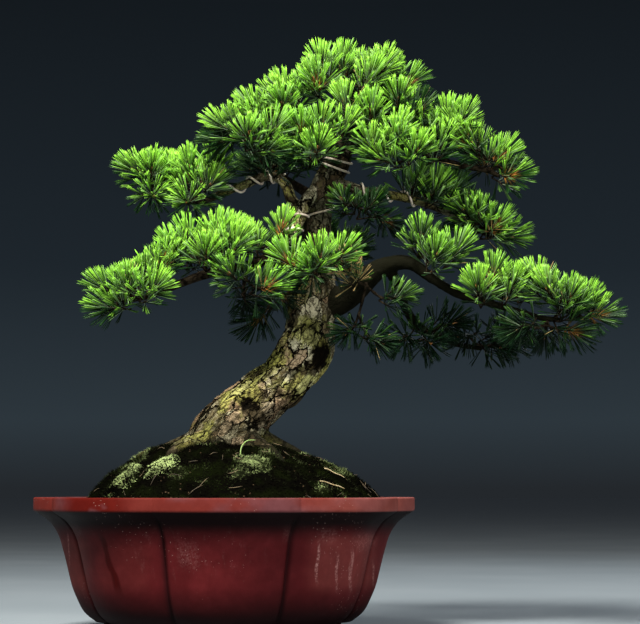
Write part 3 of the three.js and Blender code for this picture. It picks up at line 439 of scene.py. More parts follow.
def wireRoute(wire, stepsPerTurn, widen=1):
    limb, start, end, phase, turns, off = wire
    steps = math.ceil(turns * stepsPerTurn)
    shares = np.linspace(start, end, steps + 1)
    centres, _, sides, others = framesAlong(lambda s: limbPoints(limbs[limb], s), shares)
    angle = 2 * np.pi * (phase + turns * np.arange(steps + 1) / steps)
    reach = (limbRadius(limbs[limb], shares) + off + wireLook["radius"]) * widen
    return centres + (reach * np.cos(angle))[:, None] * sides + (reach * np.sin(angle))[:, None] * others


# Stretches that twigs keep clear of: the node, two ends and a radius at each
stretches = {"node": [], "low": [], "high": [], "lowRadius": [], "highRadius": []}


def keepClear(node, line, radii):
    for i in range(len(line) - 1):
        for key, value in zip(stretches, (node, line[i], line[i + 1], radii[i], radii[i + 1])):
            stretches[key].append(value)


def hasRoom(node, low, high, lowRadius, highRadius, room):
    far = np.array([other != node for other in stretches["node"]])
    start, end, startRadius, endRadius = (np.array(stretches[key])[far] for key in list(stretches)[1:])
    alongA, alongB, apart = high - low, end - start, low - start
    aa, bb, ab = alongA.dot(alongA), (alongB * alongB).sum(1), alongB @ alongA
    pa, pb = apart @ alongA, (alongB * apart).sum(1)
    skew = aa * bb - ab * ab
    s = np.where(skew > 1e-9, np.clip((ab * pb - pa * bb) / np.maximum(skew, 1e-9), 0, 1), 0)
    t = np.clip((ab * s + pb) / bb, 0, 1)
    s = np.clip((ab * t - pa) / aa, 0, 1)
    gap = np.linalg.norm(apart + s[:, None] * alongA - t[:, None] * alongB, axis=1)
    thick = lowRadius + (highRadius - lowRadius) * s + startRadius + (endRadius - startRadius) * t
    return bool((gap - thick > room).all())


barkRelief = 0.05  # how far the trunk swells and sinks, as a share of its radius
twigLook = {
    "radius": 1.3, "shootRadius": 1.2, "shootStep": 2.6, "stub": 5, "depthSpread": 1.3, "bendAt": 0.55,
    "sag": 0.14, "room": 0.3, "sides": 6, "steps": 9, "scars": 0.16, "upright": 4, "longWay": 0.4,
    "stubRadii": [2.6, 2.3, 2.2, 2.1, 1.5],
}
detours = [[0, 0, 0], [0, 0, 6], [0, -6, 3], [0, 6, 3], [0, 0, 12], [0, -12, 6], [0, 12, 6], [0, 0, -8]]


def twigBend(node, start, base, lift):
    radius, shoot, room = twigLook["radius"], twigLook["shootRadius"], twigLook["room"]
    sag = np.array([0, 0, twigLook["sag"] * np.linalg.norm(base - start) * math.cos(lift)])
    straight = start + (base - start) * twigLook["bendAt"]
    for detour in detours:
        bend = straight + detour - sag
        lower = hasRoom(node, start, bend, radius, radius, room)
        if lower and hasRoom(node, bend, base, radius, shoot, room):
            return bend
    return straight


# Links every tuft to the nearest fork or bend, with a bias towards the start of the spray
def twigsOf(name, spray):
    limb, share, (across, up, toward), tufts = spray
    inside = limbPoints(limbs[limb], share)[0]
    away = unit(np.array([across, -toward, up], float))
    fork = inside + away * (limbRadius(limbs[limb], share)[0] + twigLook["stub"])
    tufts = [(place(a, u, twigLook["depthSpread"] * n - inside[1]), lift) for a, u, n, lift in tufts]
    tufts.sort(key=lambda tuft: np.linalg.norm(tuft[0] - fork))
    joints = [(fork, 0)]
    twigs = []
    for base, lift in tufts:
        start, reach = min(joints, key=lambda joint: (
            np.linalg.norm(joint[0] - base) + twigLook["longWay"] * joint[1]))
        outward = (base - start) * [1, 1, 0]
        if np.linalg.norm(outward) < twigLook["upright"]:  # no way out of its own, so from the middle
            outward = np.array([base[0] - eye["across"], base[1], 0])
        angle = math.radians(lift)
        axis = unit(outward) * math.cos(angle) + [0, 0, math.sin(angle)]
        bend = twigBend(name, start, base, angle)
        joints.append((bend, reach + np.linalg.norm(bend - start)))
        twigs.append({"start": start, "bend": bend, "base": base, "axis": axis})
    radius, shoot = twigLook["radius"], twigLook["shootRadius"]
    keepClear(name, [inside, fork], [1.6 * radius, radius])
    for twig in twigs:
        tip = twig["base"] + twig["axis"] * 3 * twigLook["shootStep"]
        keepClear(name, [twig["start"], twig["bend"], twig["base"], tip], [radius, radius, shoot, shoot])
    return {"inside": inside, "fork": fork, "twigs": twigs}


for name, limb in limbs.items():
    steps = 40 if name == "trunk" else 3 * len(limb)
    shares = np.linspace(0, 1, steps + 1)
    thick = limbRadius(limb, shares) * (1 + barkRelief if name == "trunk" else 1)
    keepClear("wood", limbPoints(limb, shares), thick)
for name, wire in wires.items():
    line = wireRoute(wire, 8, 1 / math.cos(math.pi / 8))
    keepClear(name, line, [wireLook["radius"]] * len(line))
leafy = {name: twigsOf(name, spray) for name, spray in sprays.items()}
twigCount = sum(len(spray["twigs"]) for spray in leafy.values())
print("stage: laid out", twigCount, "twigs in", len(leafy), "sprays")


# Pot and mound shapes: lines of [radius, height], from the foot up outside and from the rim down inside
potLook = {
    "depthShare": 0.94, "lobes": 8, "turn": math.radians(3), "lobeDepth": 0.045, "innerLobes": 0.8,
    "footAngle": 32, "footHalfWidth": 12, "footOuter": 135, "footInner": 108, "footTop": 14,
    "drainRadius": 12, "drainAcross": 58, "drainLow": 8, "drainHigh": 26,
}
potOutside = [
    [139.5, 11], [153, 21], [165, 47], [173, 80], [180, 105], [190, 119.5], [202, 127], [208, 131],
    [208, 145],
]
potInside = [[194, 145], [189, 129], [169, 100], [148, 33], [128, 23]]
moundLook = {
    "top": 206, "edge": 139, "radius": 161, "lean": 10, "edgeRadius": 191.5, "rings": 96, "perLobe": 38,
}


def lobe(angle, depth, valley=0.02):
    wave = np.cos(potLook["lobes"] / 2 * (angle - potLook["turn"]))
    soft = np.sqrt((wave * wave + valley) / (1 + valley))
    return 1 - depth * (1 - soft)


def moundHeight(x, y):
    reach = moundLook["radius"] + moundLook["lean"] * x / moundLook["radius"]
    away = np.hypot(x, y / potLook["depthShare"]) / reach
    dome = (1 - np.minimum(away, 1) ** 2.1) ** 0.8
    ripple = np.sin(x * 0.045 + 1) * np.cos(y * 0.05 - 0.4) + 0.6 * np.sin(x * 0.09 - y * 0.07)
    left = np.exp(-(((x + 78) / 26) ** 2) - (((y + 6) / 34) ** 2))
    return moundLook["edge"] + (moundLook["top"] - moundLook["edge"]) * dome + 2.2 * ripple * dome + 5 * left


# Shader helpers: each adds its nodes to a tree and hands back the socket that comes out
def addNode(tree, kind, inputs=None, **settings):
    made = tree.nodes.new("ShaderNode" + kind)
    for name, value in settings.items():
        setattr(made, name, value)
    for name, value in (inputs or {}).items():
        if isinstance(value, bpy.types.NodeSocket):
            tree.links.new(value, made.inputs[name])
        else:
            made.inputs[name].default_value = value
    return made


def mixColours(tree, share, first, second, blend="MIX"):
    inputs = {0: share, 6: first, 7: second}
    return addNode(tree, "Mix", inputs, data_type="RGBA", blend_type=blend).outputs[2]


def layered(tree, colour, *layers):  # each layer is how much of it shows, and its colour
    for share, over in layers:
        colour = mixColours(tree, share, colour, over)
    return colour


def spread(tree, value, low, high, outLow=0.0, outHigh=1.0):
    inputs = {"Value": value, "From Min": low, "From Max": high, "To Min": outLow, "To Max": outHigh}
    return addNode(tree, "MapRange", inputs, interpolation_type="SMOOTHSTEP").outputs[0]


def arithmetic(tree, operation, first, second=0.0):
    return addNode(tree, "Math", {0: first, 1: second}, operation=operation).outputs[0]


def multiplied(tree, first, *others):
    for other in others:
        first = arithmetic(tree, "MULTIPLY", first, other)
    return first


def noiseOn(tree, place, scale, detail=2.0, roughness=0.5):
    inputs = {"Vector": place, "Scale": scale, "Detail": detail, "Roughness": roughness}
    return addNode(tree, "TexNoise", inputs).outputs["Fac"]


def stretched(tree, place, scale, shift=(0, 0, 0)):
    inputs = {"Vector": place, "Scale": scale, "Location": shift}
    return addNode(tree, "Mapping", inputs).outputs["Vector"]


def readMark(tree, name, output="Fac"):
    return addNode(tree, "Attribute", attribute_name=name).outputs[output]


# Groups for what several finishes share. A socket holds a number unless its name is here
socketKinds = {"Place": "NodeSocketVector", "First": "NodeSocketColor", "Second": "NodeSocketColor",
               "Color": "NodeSocketColor"}


def newGroup(name, takes, gives):
    tree = bpy.data.node_groups.new(name, "ShaderNodeTree")
    for way, names in (("INPUT", takes), ("OUTPUT", gives)):
        for socket in names:
            kind = socketKinds.get(socket, "NodeSocketFloat")
            tree.interface.new_socket(name=socket, in_out=way, socket_type=kind)
    given, out = tree.nodes.new("NodeGroupInput"), tree.nodes.new("NodeGroupOutput")
    return tree, given.outputs[:len(takes)], out.inputs


def useGroup(tree, group, *values):  # the values in the order of the group's own sockets
    return addNode(tree, "Group", dict(enumerate(values)), node_tree=group).outputs


def makeMottle():  # two colours in soft patches of a stated size
    takes = ["Place", "Scale", "Edge Low", "Edge High", "First", "Second"]
    tree, (place, scale, low, high, first, second), out = newGroup("mottle", takes, ["Color", "Mask"])
    mask = spread(tree, noiseOn(tree, place, scale, 4.0, 0.6), low, high)
    tree.links.new(mixColours(tree, mask, first, second), out["Color"])
    tree.links.new(mask, out["Mask"])
    return tree


def makeGrain():  # fine relief for a bump, coarse and fine in one
    takes = ["Place", "Coarse", "Fine", "Share"]
    tree, (place, coarse, fine, share), out = newGroup("grain", takes, ["Height"])
    inputs = {0: share, 2: noiseOn(tree, place, coarse, 3.0, 0.55), 3: noiseOn(tree, place, fine, 2.0, 0.6)}
    tree.links.new(addNode(tree, "Mix", inputs).outputs[0], out["Height"])
    return tree


def makeSpecks():  # small scattered dots, a share of them left out
    tree, (place, scale, size, kept), out = newGroup("specks", ["Place", "Scale", "Size", "Kept"], ["Mask"])
    cells = addNode(tree, "TexVoronoi", {"Vector": place, "Scale": scale}).outputs
    chance = addNode(tree, "SeparateColor", {"Color": cells["Color"]}).outputs[0]
    chosen = arithmetic(tree, "LESS_THAN", chance, kept)
    near = arithmetic(tree, "LESS_THAN", cells["Distance"], size)
    tree.links.new(multiplied(tree, chosen, near), out["Mask"])
    return tree


def makeRun():  # a mark that has run down a wall: how near a place is to it
    takes = ["Place", "Across", "Top", "Bottom", "Width"]
    tree, (place, across, top, bottom, width), out = newGroup("run", takes, ["Mask"])
    x, y, z = addNode(tree, "SeparateXYZ", {"Vector": place}).outputs
    drift = spread(tree, noiseOn(tree, place, 34.0, 1.0), 0.2, 0.8, -0.0022, 0.0022)
    off = arithmetic(tree, "ADD", arithmetic(tree, "SUBTRACT", x, across), drift)
    off = arithmetic(tree, "DIVIDE", arithmetic(tree, "ABSOLUTE", off), width)
    beside = spread(tree, arithmetic(tree, "SUBTRACT", 1.0, off), 0.0, 0.6)
    under = spread(tree, arithmetic(tree, "SUBTRACT", top, z), 0.0, 0.012)
    above = spread(tree, arithmetic(tree, "SUBTRACT", z, bottom), 0.0, 0.018)
    front = arithmetic(tree, "LESS_THAN", y, 0.0)
    tree.links.new(multiplied(tree, beside, front, under, above), out["Mask"])
    return tree


mottle, grain, specks, run = makeMottle(), makeGrain(), makeSpecks(), makeRun()


def newMaterial(name, **fixed):
    material = bpy.data.materials.new(name)
    material.use_nodes = True
    tree = material.node_tree
    shader = tree.nodes["Principled BSDF"]
    for socket, value in fixed.items():
        shader.inputs[socket.replace("_", " ")].default_value = value
    return material, tree, shader, tree.nodes.new("ShaderNodeTexCoord").outputs["Object"]


def finishWith(tree, shader, colour, height, strength, distance, rough=None):  # distance in metres
    bump = addNode(tree, "Bump", {"Height": height, "Strength": strength, "Distance": distance})
    tree.links.new(colour, shader.inputs["Base Color"])
    tree.links.new(bump.outputs["Normal"], shader.inputs["Normal"])
    if rough is not None:
        tree.links.new(rough, shader.inputs["Roughness"])


# Unglazed red-brown stoneware: a dusty pink film on the rim, lime marks and one wet run down the body
# Of these colours, the near-black one under the rim and by the foot and the dark one along the grooves are
# painted shade, and the pale one on the rim's right end and the side lobes is dust with painted light
stonewareLook = {
    "deep": (0.07, 0.0065, 0.0075, 1), "warm": (0.108, 0.0118, 0.013, 1), "film": (0.125, 0.038, 0.04, 1),
    "clean": (0.125, 0.018, 0.013, 1), "mineral": (0.42, 0.21, 0.19, 1), "wet": (0.04, 0.0014, 0.001, 1),
    "grains": (0.5, 0.34, 0.3, 1), "paintedShade": (0.0018, 0.0006, 0.0007, 1), "seam": (0.012, 0.0018, 0.0022, 1),
    "dustAndPaintedLight": (0.3, 0.085, 0.066, 1), "wetRim": (0.088, 0.006, 0.0035, 1), "spots": (0.8, 0.74, 0.74, 1),
}
# Marks on the front wall, in millimetres: across, top, bottom, half width, and how strong
limeMarks = [
    [101.8, 104, 52, 2, 1.0], [121.6, 90, 42, 1.8, 1.0], [137, 95, 42, 2.2, 1.0], [160, 80, 44, 1.5, 1.0],
    [-166, 112, 66, 1.3, 1.0], [151, 114, 83, 17, 0.4], [112, 120, 93, 12, 0.35], [-154, 126, 99, 9, 0.4],
    [70, 121, 96, 6, 0.35], [-30, 106, 67, 14, 0.18],
]
# Marks of dust film that also paint light on the side lobes, in the same columns
dustAndLightMarks = [[130, 112, 40, 46, 0.22], [-100, 108, 40, 40, 0.05], [-162, 106, 34, 30, 0.2]]
wetRun = [-88, 112, 38, 4.5]
wetLean = 0.33  # the wet run leans in with the wall, this much across for each millimetre up
wetPatch = [-128, 165, 95, 50]
white = (1, 1, 1, 1)


def placeRun(tree, middle, mark):
    return useGroup(tree, run, middle, *(value * mm for value in mark))[0]


def stonewareMaterial():
    material, tree, shader, place = newMaterial("stoneware", Specular_IOR_Level=0.05)
    look = stonewareLook
    middle = stretched(tree, place, (1, 1, 1), tuple(potMiddle * -mm))
    across, back, height = addNode(tree, "SeparateXYZ", {"Vector": middle}).outputs
    colour = useGroup(tree, mottle, place, 13.0, 0.34, 0.68, look["deep"], look["warm"])[0]
    dotted = spread(tree, noiseOn(tree, place, 420.0, 4.0, 0.75), 0.44, 0.62, 0.05, 0.85)
    for *mark, strong in limeMarks:
        share = multiplied(tree, placeRun(tree, middle, mark), strong, dotted)
        colour = mixColours(tree, share, colour, look["mineral"])
    # dust with painted light on the side lobes
    for *mark, strong in dustAndLightMarks:
        share = multiplied(tree, placeRun(tree, middle, mark), strong)
        colour = mixColours(tree, share, colour, look["dustAndPaintedLight"])
    streak = spread(tree, noiseOn(tree, stretched(tree, place, (1, 1, 0.1)), 150.0, 3.0, 0.6), 0.55, 0.75)
    broad = noiseOn(tree, place, 9.0)
    faint = multiplied(tree, streak, spread(tree, broad, 0.48, 0.64, 0.0, 0.2), dotted)
    leant = arithmetic(tree, "ADD", across, multiplied(tree, height, wetLean))
    leaning = addNode(tree, "CombineXYZ", {"X": leant, "Y": back, "Z": height}).outputs["Vector"]
    wet = placeRun(tree, leaning, wetRun)
    colour = layered(tree, colour, (faint, look["mineral"]), (wet, look["wet"]))
    patch = noiseOn(tree, stretched(tree, place, (1, 1, 1.6)), 15.0, 3.0, 0.5)
    patchWet = multiplied(tree, placeRun(tree, middle, wetPatch), spread(tree, patch, 0.35, 0.43))
    # painted light: the rim's film grows paler towards its right end
    rim = layered(tree, look["film"], (spread(tree, patch, 0.38, 0.6), look["clean"]),
                  (spread(tree, across, 0.05, 0.19, 0.0, 0.62), look["dustAndPaintedLight"]), (patchWet, look["wetRim"]))
    # painted shade: the body is darkened just under the rim and towards the foot
    paintedShadeMask = arithmetic(tree, "MAXIMUM", spread(tree, height, 0.096, 0.12, 0.0, 0.97),
                        spread(tree, height, 0.06, 0.016, 0.0, 0.93))
    # painted shade along the grooves and the painted shade under the rim and by the foot, then the rim's film
    colour = layered(tree, colour, (readMark(tree, "groove"), look["seam"]), (paintedShadeMask, look["paintedShade"]),
                     (spread(tree, height, 0.1295, 0.1315), rim))
    spots = useGroup(tree, mottle, place, 90.0, 0.3, 0.8, look["spots"], white)[0]
    colour = mixColours(tree, 1.0, colour, spots, "MULTIPLY")
    sparse = spread(tree, noiseOn(tree, place, 14.0, 1.0), 0.48, 0.6, 0.0, 0.6)
    grains = multiplied(tree, useGroup(tree, specks, place, 520.0, 0.2, 0.12)[0], sparse)
    colour = mixColours(tree, grains, colour, look["grains"])
    rough = spread(tree, broad, 0.3, 0.7, 0.52, 0.68)
    rough = arithmetic(tree, "SUBTRACT", rough, multiplied(tree, wet, 0.2))
    relief = useGroup(tree, grain, place, 120.0, 900.0, 0.5)[0]
    finishWith(tree, shader, colour, relief, 0.3, 0.0007, rough)
    return material


# Bark in plates: the mesh carries each point's place round and along its limb, its age, cracks, and one mark
# for wet bark and painted shade
# The near-black last colour is for wet bark and for painted shade
barkLook = {
    "plate": (0.12, 0.092, 0.042, 1), "pale": (0.72, 0.66, 0.42, 1), "pink": (0.3, 0.185, 0.1, 1),
    "lichen": (0.35, 0.35, 0.07, 1), "dark": (0.03, 0.022, 0.01, 1), "fissure": (0.003, 0.002, 0.001, 1),
    "young": (0.03, 0.022, 0.013, 1), "dampAndShade": (0.006, 0.006, 0.003, 1), "plates": 88.0, "flakes": 190.0,
}


def movedPlace(tree, place, scale, reach):  # the same place pushed about by noise, so that seams wander
    inputs = {"Vector": place, "Scale": scale, "Detail": 3.0, "Roughness": 0.65}
    wander = addNode(tree, "TexNoise", inputs).outputs["Color"]
    half = (0.5, 0.5, 0.5)
    centred = addNode(tree, "VectorMath", {0: wander, 1: half}, operation="SUBTRACT").outputs[0]
    push = addNode(tree, "VectorMath", {0: centred, "Scale": reach}, operation="SCALE").outputs[0]
    return addNode(tree, "VectorMath", {0: place, 1: push}, operation="ADD").outputs[0]


def cellEdge(tree, inputs):  # how far a place is from the seam between two cells
    return addNode(tree, "TexVoronoi", inputs, feature="DISTANCE_TO_EDGE").outputs["Distance"]


def platedBark(tree, place, young, fine):  # old bark's colour and relief, laid over the young
    look = barkLook
    crack, old, dampAndShade = (readMark(tree, mark) for mark in ("crack", "age", "dampAndShade"))
    unrolled = readMark(tree, "barkPlace", "Vector")
    wandering = movedPlace(tree, unrolled, 75.0, 0.016)
    cells = {"Vector": stretched(tree, wandering, (1, 1, 0.44)), "Scale": look["plates"]}
    flakes = {"Vector": stretched(tree, wandering, (1, 1, 0.5)), "Scale": look["flakes"]}
    plate = addNode(tree, "TexVoronoi", cells).outputs["Color"]
    seam, chip = (cellEdge(tree, inputs) for inputs in (cells, flakes))
    chances = addNode(tree, "SeparateColor", {"Color": plate}).outputs
    fibres = noiseOn(tree, stretched(tree, wandering, (1, 1, 0.22)), 420.0, 3.0, 0.7)
    pale = arithmetic(tree, "ADD", spread(tree, fibres, 0.3, 0.72, -0.25, 0.45),
                      spread(tree, chances[0], 0.0, 1.0, 0.0, 0.75))
    pink = spread(tree, chances[1], 0.6, 0.75, 0.0, 0.75)
    lichen = spread(tree, noiseOn(tree, place, 21.0, 5.0, 0.62), 0.47, 0.58, 0.0, 0.75)
    dim = spread(tree, noiseOn(tree, place, 24.0, 5.0, 0.7), 0.51, 0.61, 0.0, 0.9)
    chipped = spread(tree, chip, 0.0, 0.11, 0.85, 0.0)
    opening = spread(tree, noiseOn(tree, unrolled, 38.0), 0.38, 0.7, 0.025, 0.14)
    gap = spread(tree, arithmetic(tree, "DIVIDE", seam, opening), 0.35, 1.0, 1.0, 0.0)
    plates = layered(tree, look["plate"], (pale, look["pale"]), (pink, look["pink"]),
                     (lichen, look["lichen"]), (dim, look["dark"]), (chipped, look["dark"]),
                     (gap, look["fissure"]), (crack, look["fissure"]))
    raised = arithmetic(tree, "SUBTRACT", spread(tree, chip, 0.0, 0.16, 0.0, 0.3), gap)
    raised = arithmetic(tree, "ADD", raised, multiplied(tree, chances[2], 0.7))
    relief = arithmetic(tree, "ADD", multiplied(tree, raised, old), multiplied(tree, fine, 0.5))
    # the last layer is wet bark and painted shade
    return layered(tree, young, (old, plates), (dampAndShade, look["dampAndShade"])), relief


def barkMaterial(name, aged):
    material, tree, shader, place = newMaterial(name, Specular_IOR_Level=0.02)
    colour = useGroup(tree, mottle, place, 240.0, 0.35, 0.7, barkLook["fissure"], barkLook["young"])[0]
    relief = useGroup(tree, grain, place, 260.0, 900.0, 0.4)[0]
    if aged:
        colour, relief = platedBark(tree, place, colour, relief)
    rough = spread(tree, noiseOn(tree, place, 60.0), 0.3, 0.7, 0.75, 0.95)
    finishWith(tree, shader, colour, relief, 0.9, 0.0019, rough)
    return material


# Needles: brown at the sheath, rusty low down in some tufts, a pale waxy band, a few gone straw-coloured
# All of them lie under painted light and shade: lime where the needle faces the light and the tufts above
# leave it open, near black at the foot and in the shade of other tufts
needleLook = {
    "sheath": (0.17, 0.085, 0.02, 1), "base": (0.003, 0.009, 0.0025, 1), "middle": (0.009, 0.046, 0.005, 1),
    "lime": (0.33, 0.69, 0.055, 1), "band": (0.42, 0.56, 0.36, 1), "old": (0.4, 0.27, 0.11, 1),
    "rust": (0.46, 0.18, 0.03, 1), "shade": (0.0025, 0.011, 0.0045, 1), "cloud": (0.72, 0.82, 0.72, 1),
}


def needleMaterial():
    material, tree, shader, place = newMaterial("needles", Specular_IOR_Level=0.07)
    look = needleLook
    names = ("along", "tone", "band", "inner", "warm")
    along, tone, band, inner, warm = (readMark(tree, mark) for mark in names)
    # painted light and shade: the tone mark picks lime over dark green, and the inner mark paints shade
    sunny = spread(tree, tone, 0.1, 0.9)
    fresh = layered(tree, look["middle"], (sunny, look["lime"]), (inner, look["shade"]))
    # the needle's foot is near black, painted shade inside the tuft, and shows its brown sheath only where
    # lit
    sheathed = multiplied(tree, spread(tree, along, 0.16, 0.02), spread(tree, tone, 0.4, 0.8))
    foot = mixColours(tree, sheathed, look["base"], look["sheath"])
    rusty = multiplied(tree, warm, spread(tree, along, 0.45, 0.1))
    waxy = multiplied(tree, band, spread(tree, along, 0.1, 0.5, 0.5, 0.3),
                      spread(tree, tone, 0.05, 0.3, 0.3, 1.0), spread(tree, inner, 0.3, 0.9, 1.0, 0.12))
    colour = layered(tree, foot, (spread(tree, along, 0.16, 0.92), fresh), (rusty, look["rust"]),
                     (waxy, look["band"]), (spread(tree, tone, 0.982, 0.99), look["old"]))
    cloud = useGroup(tree, mottle, place, 22.0, 0.35, 0.65, look["cloud"], white)[0]
    colour = mixColours(tree, 1.0, colour, cloud, "MULTIPLY")
    rough = spread(tree, tone, 0.0, 1.0, 0.42, 0.55)
    ridges = useGroup(tree, grain, place, 700.0, 2200.0, 0.5)[0]
    finishWith(tree, shader, colour, ridges, 0.15, 0.0002, rough)
    return material


# Moss and soil share one finish: tone picks from bare dark soil through low moss to bright tips
mossLook = {
    "soil": (0.0016, 0.0014, 0.001, 1), "low": (0.003, 0.004, 0.0012, 1), "moss": (0.01, 0.016, 0.003, 1),
    "bright": (0.46, 0.57, 0.22, 1), "crumbs": (0.07, 0.045, 0.025, 1),
}


def mossMaterial(name, lift):
    material, tree, shader, place = newMaterial(name, Specular_IOR_Level=0.0, Roughness=0.95)
    look = mossLook
    ground = useGroup(tree, mottle, place, 46.0, 0.4, 0.66, look["soil"], look["low"])[0]
    leaves = useGroup(tree, mottle, place, 30.0, 0.45 - lift, 0.7 - lift, look["moss"], look["bright"])[0]
    crumbs = multiplied(tree, useGroup(tree, specks, place, 330.0, 0.3, 0.035)[0], 0.7)
    grown = spread(tree, readMark(tree, "tone"), 0.25, 1.0)
    colour = layered(tree, ground, (grown, leaves), (crumbs, look["crumbs"]))
    relief = useGroup(tree, grain, place, 380.0, 1400.0, 0.5)[0]
    finishWith(tree, shader, colour, relief, 0.9, 0.0015)
    return material


# Small plain finishes: two colours, the fineness of their patches and grain, the roughness of each
smallFinishes = {
    "trainingWire": [(0.6, 0.46, 0.34, 1), (0.92, 0.82, 0.66, 1), 120, 900, (0.35, 0.55)],
    "budScales": [(0.16, 0.06, 0.015, 1), (0.42, 0.2, 0.05, 1), 400, 1500, (0.5, 0.7)],
    "dryStraw": [(0.34, 0.24, 0.1, 1), (0.62, 0.5, 0.28, 1), 160, 1200, (0.55, 0.75)],
    "litter": [(0.03, 0.02, 0.01, 1), (0.17, 0.12, 0.06, 1), 60, 1200, (0.6, 0.8)],
    "grassBlade": [(0.2, 0.34, 0.06, 1), (0.42, 0.56, 0.2, 1), 120, 1500, (0.4, 0.55)],
    "screenMesh": [(0.01, 0.012, 0.01, 1), (0.03, 0.034, 0.028, 1), 200, 1400, (0.5, 0.7)],
    "paleFloor": [(0.22, 0.255, 0.275, 1), (0.24, 0.275, 0.295, 1), 3, 60, (0.8, 0.9)],
}
metals = {"trainingWire": 0.2}


def smallMaterial(name):
    first, second, patch, fine, roughs = smallFinishes[name]
    material, tree, shader, place = newMaterial(name, Metallic=metals.get(name, 0.0))
    colour, mask = useGroup(tree, mottle, place, patch, 0.35, 0.68, first, second)
    rough = spread(tree, mask, 0.0, 1.0, *roughs)
    relief = useGroup(tree, grain, place, fine / 4, fine, 0.5)[0]
    finishWith(tree, shader, colour, relief, 0.25, 0.0004, rough)
    return material


stoneware = stonewareMaterial()
oldBark, youngBark = barkMaterial("oldBark", True), barkMaterial("youngBark", False)
greenNeedles = needleMaterial()
darkMoss, brightMoss = mossMaterial("darkMoss", 0.0), mossMaterial("brightMoss", 0.22)
small = {name: smallMaterial(name) for name in smallFinishes}
print("stage: finishes made")


floorCorners = np.array([[-1, -1, 0], [1, -1, 0], [1, 1, 0], [-1, 1, 0]]) * roomLook["floorSize"] / 2
floorMesh = newMesh("paleFloor", floorCorners * mm, np.array([[0, 1, 2, 3]]))
floorMesh.materials.append(small["paleFloor"])
floor = newObject("paleFloor", floorMesh)


# Pot: one fired piece on four low feet, with two drain holes
# In the pot's finish the last two set a band of painted shade along each pressed groove
potFinish = {
    "rimCorner": 2.2, "wallCorner": 9, "footEdge": 1.6, "perLobe": 60, "pinch": 0.12, "valley": 0.003,
    "groove": 2.6, "grooveWidth": 2.6, "grooveShadeWidth": 3.4, "grooveShadeStrength": 0.85,
}


def softenCorners(line, sizes, steps=5):  # rounds the inner corners of an open line
    line = np.asarray(line, float)
    rounded = [line[:1]]
    for before, corner, after, size in zip(line[:-2], line[1:-1], line[2:], sizes):
        back, on = before - corner, after - corner
        start = corner + unit(back) * min(size, 0.48 * np.linalg.norm(back))
        end = corner + unit(on) * min(size, 0.48 * np.linalg.norm(on))
        t = np.linspace(0, 1, steps)[:, None]
        rounded.append((1 - t) ** 2 * start + 2 * t * (1 - t) * corner + t * t * end)
    return np.concatenate([*rounded, line[-1:]])


def lobeAngles(perLobe, pinch=0.0):  # even columns, or columns that crowd towards the grooves
    u = np.arange(perLobe) / perLobe
    turn = 2 * np.pi / potLook["lobes"]
    start = potLook["turn"] + turn / 2 + turn * np.arange(potLook["lobes"])
    return (start[:, None] + turn * (u - pinch * np.sin(2 * np.pi * u))).ravel()


def besideGroove(line, angle, width):  # how far a place on the wall is from a groove, in widths of it
    turn = 2 * np.pi / potLook["lobes"]
    past = (angle - potLook["turn"] - turn / 2) % turn
    return line[:, :1] * np.minimum(past, turn - past) / width


def potRings(line, depths, angle, valleys=0.02, pressed=0):
    reach = line[:, :1] * lobe(angle, np.asarray(depths)[:, None], np.reshape(valleys, (-1, 1)))
    beside = besideGroove(line, angle, potFinish["grooveWidth"])
    reach = reach - np.reshape(pressed, (-1, 1)) * np.exp(-(beside ** 2))
    height = np.broadcast_to(line[:, 1:], reach.shape)
    return np.stack([reach * np.cos(angle), potLook["depthShare"] * reach * np.sin(angle), height], -1)


def footParts(degrees, columns=18):
    middle, half = math.radians(degrees), math.radians(potLook["footHalfWidth"])
    outer = middle + np.linspace(-half, half, columns)
    inner = middle + np.linspace(0.8 * half, -0.8 * half, columns)
    angle = np.concatenate([outer, inner])
    reach = np.repeat([potLook["footOuter"], potLook["footInner"]], columns)
    outline = np.stack([reach * np.cos(angle), reach * np.sin(angle)], -1)
    towards = unit(outline - outline.mean(axis=0))
    edge = potFinish["footEdge"]
    rings = []
    for inset, height in ((edge, 0), (0.3 * edge, 0.3 * edge), (0, edge), (0, potLook["footTop"])):
        flat = (outline - towards * inset) * [1, potLook["depthShare"]]
        rings.append(np.column_stack([flat, np.full(len(flat), height)]))
    return skinOver(np.array(rings))


def cylinderParts(radius, low, high, across, count=40):
    angle = evenAngles(count)
    ring = np.stack([across + radius * np.cos(angle), radius * np.sin(angle)], -1)
    return skinOver(np.array([np.column_stack([ring, np.full(count, z)]) for z in (low, high)]))


def finished(piece):  # its mesh with the modifiers done
    return bpy.data.meshes.new_from_object(piece.evaluated_get(bpy.context.evaluated_depsgraph_get()))


def cutWith(piece, cutters):
    for points, faces in cutters:
        cutter = newObject("cutter", newMesh("cutter", toFrame(points), faces))
        boolean = piece.modifiers.new("drainHole", "BOOLEAN")
        boolean.operation, boolean.solver, boolean.object = "DIFFERENCE", "EXACT", cutter
        cut = finished(piece)
        piece.modifiers.clear()
        piece.data = cut
        bpy.data.objects.remove(cutter)


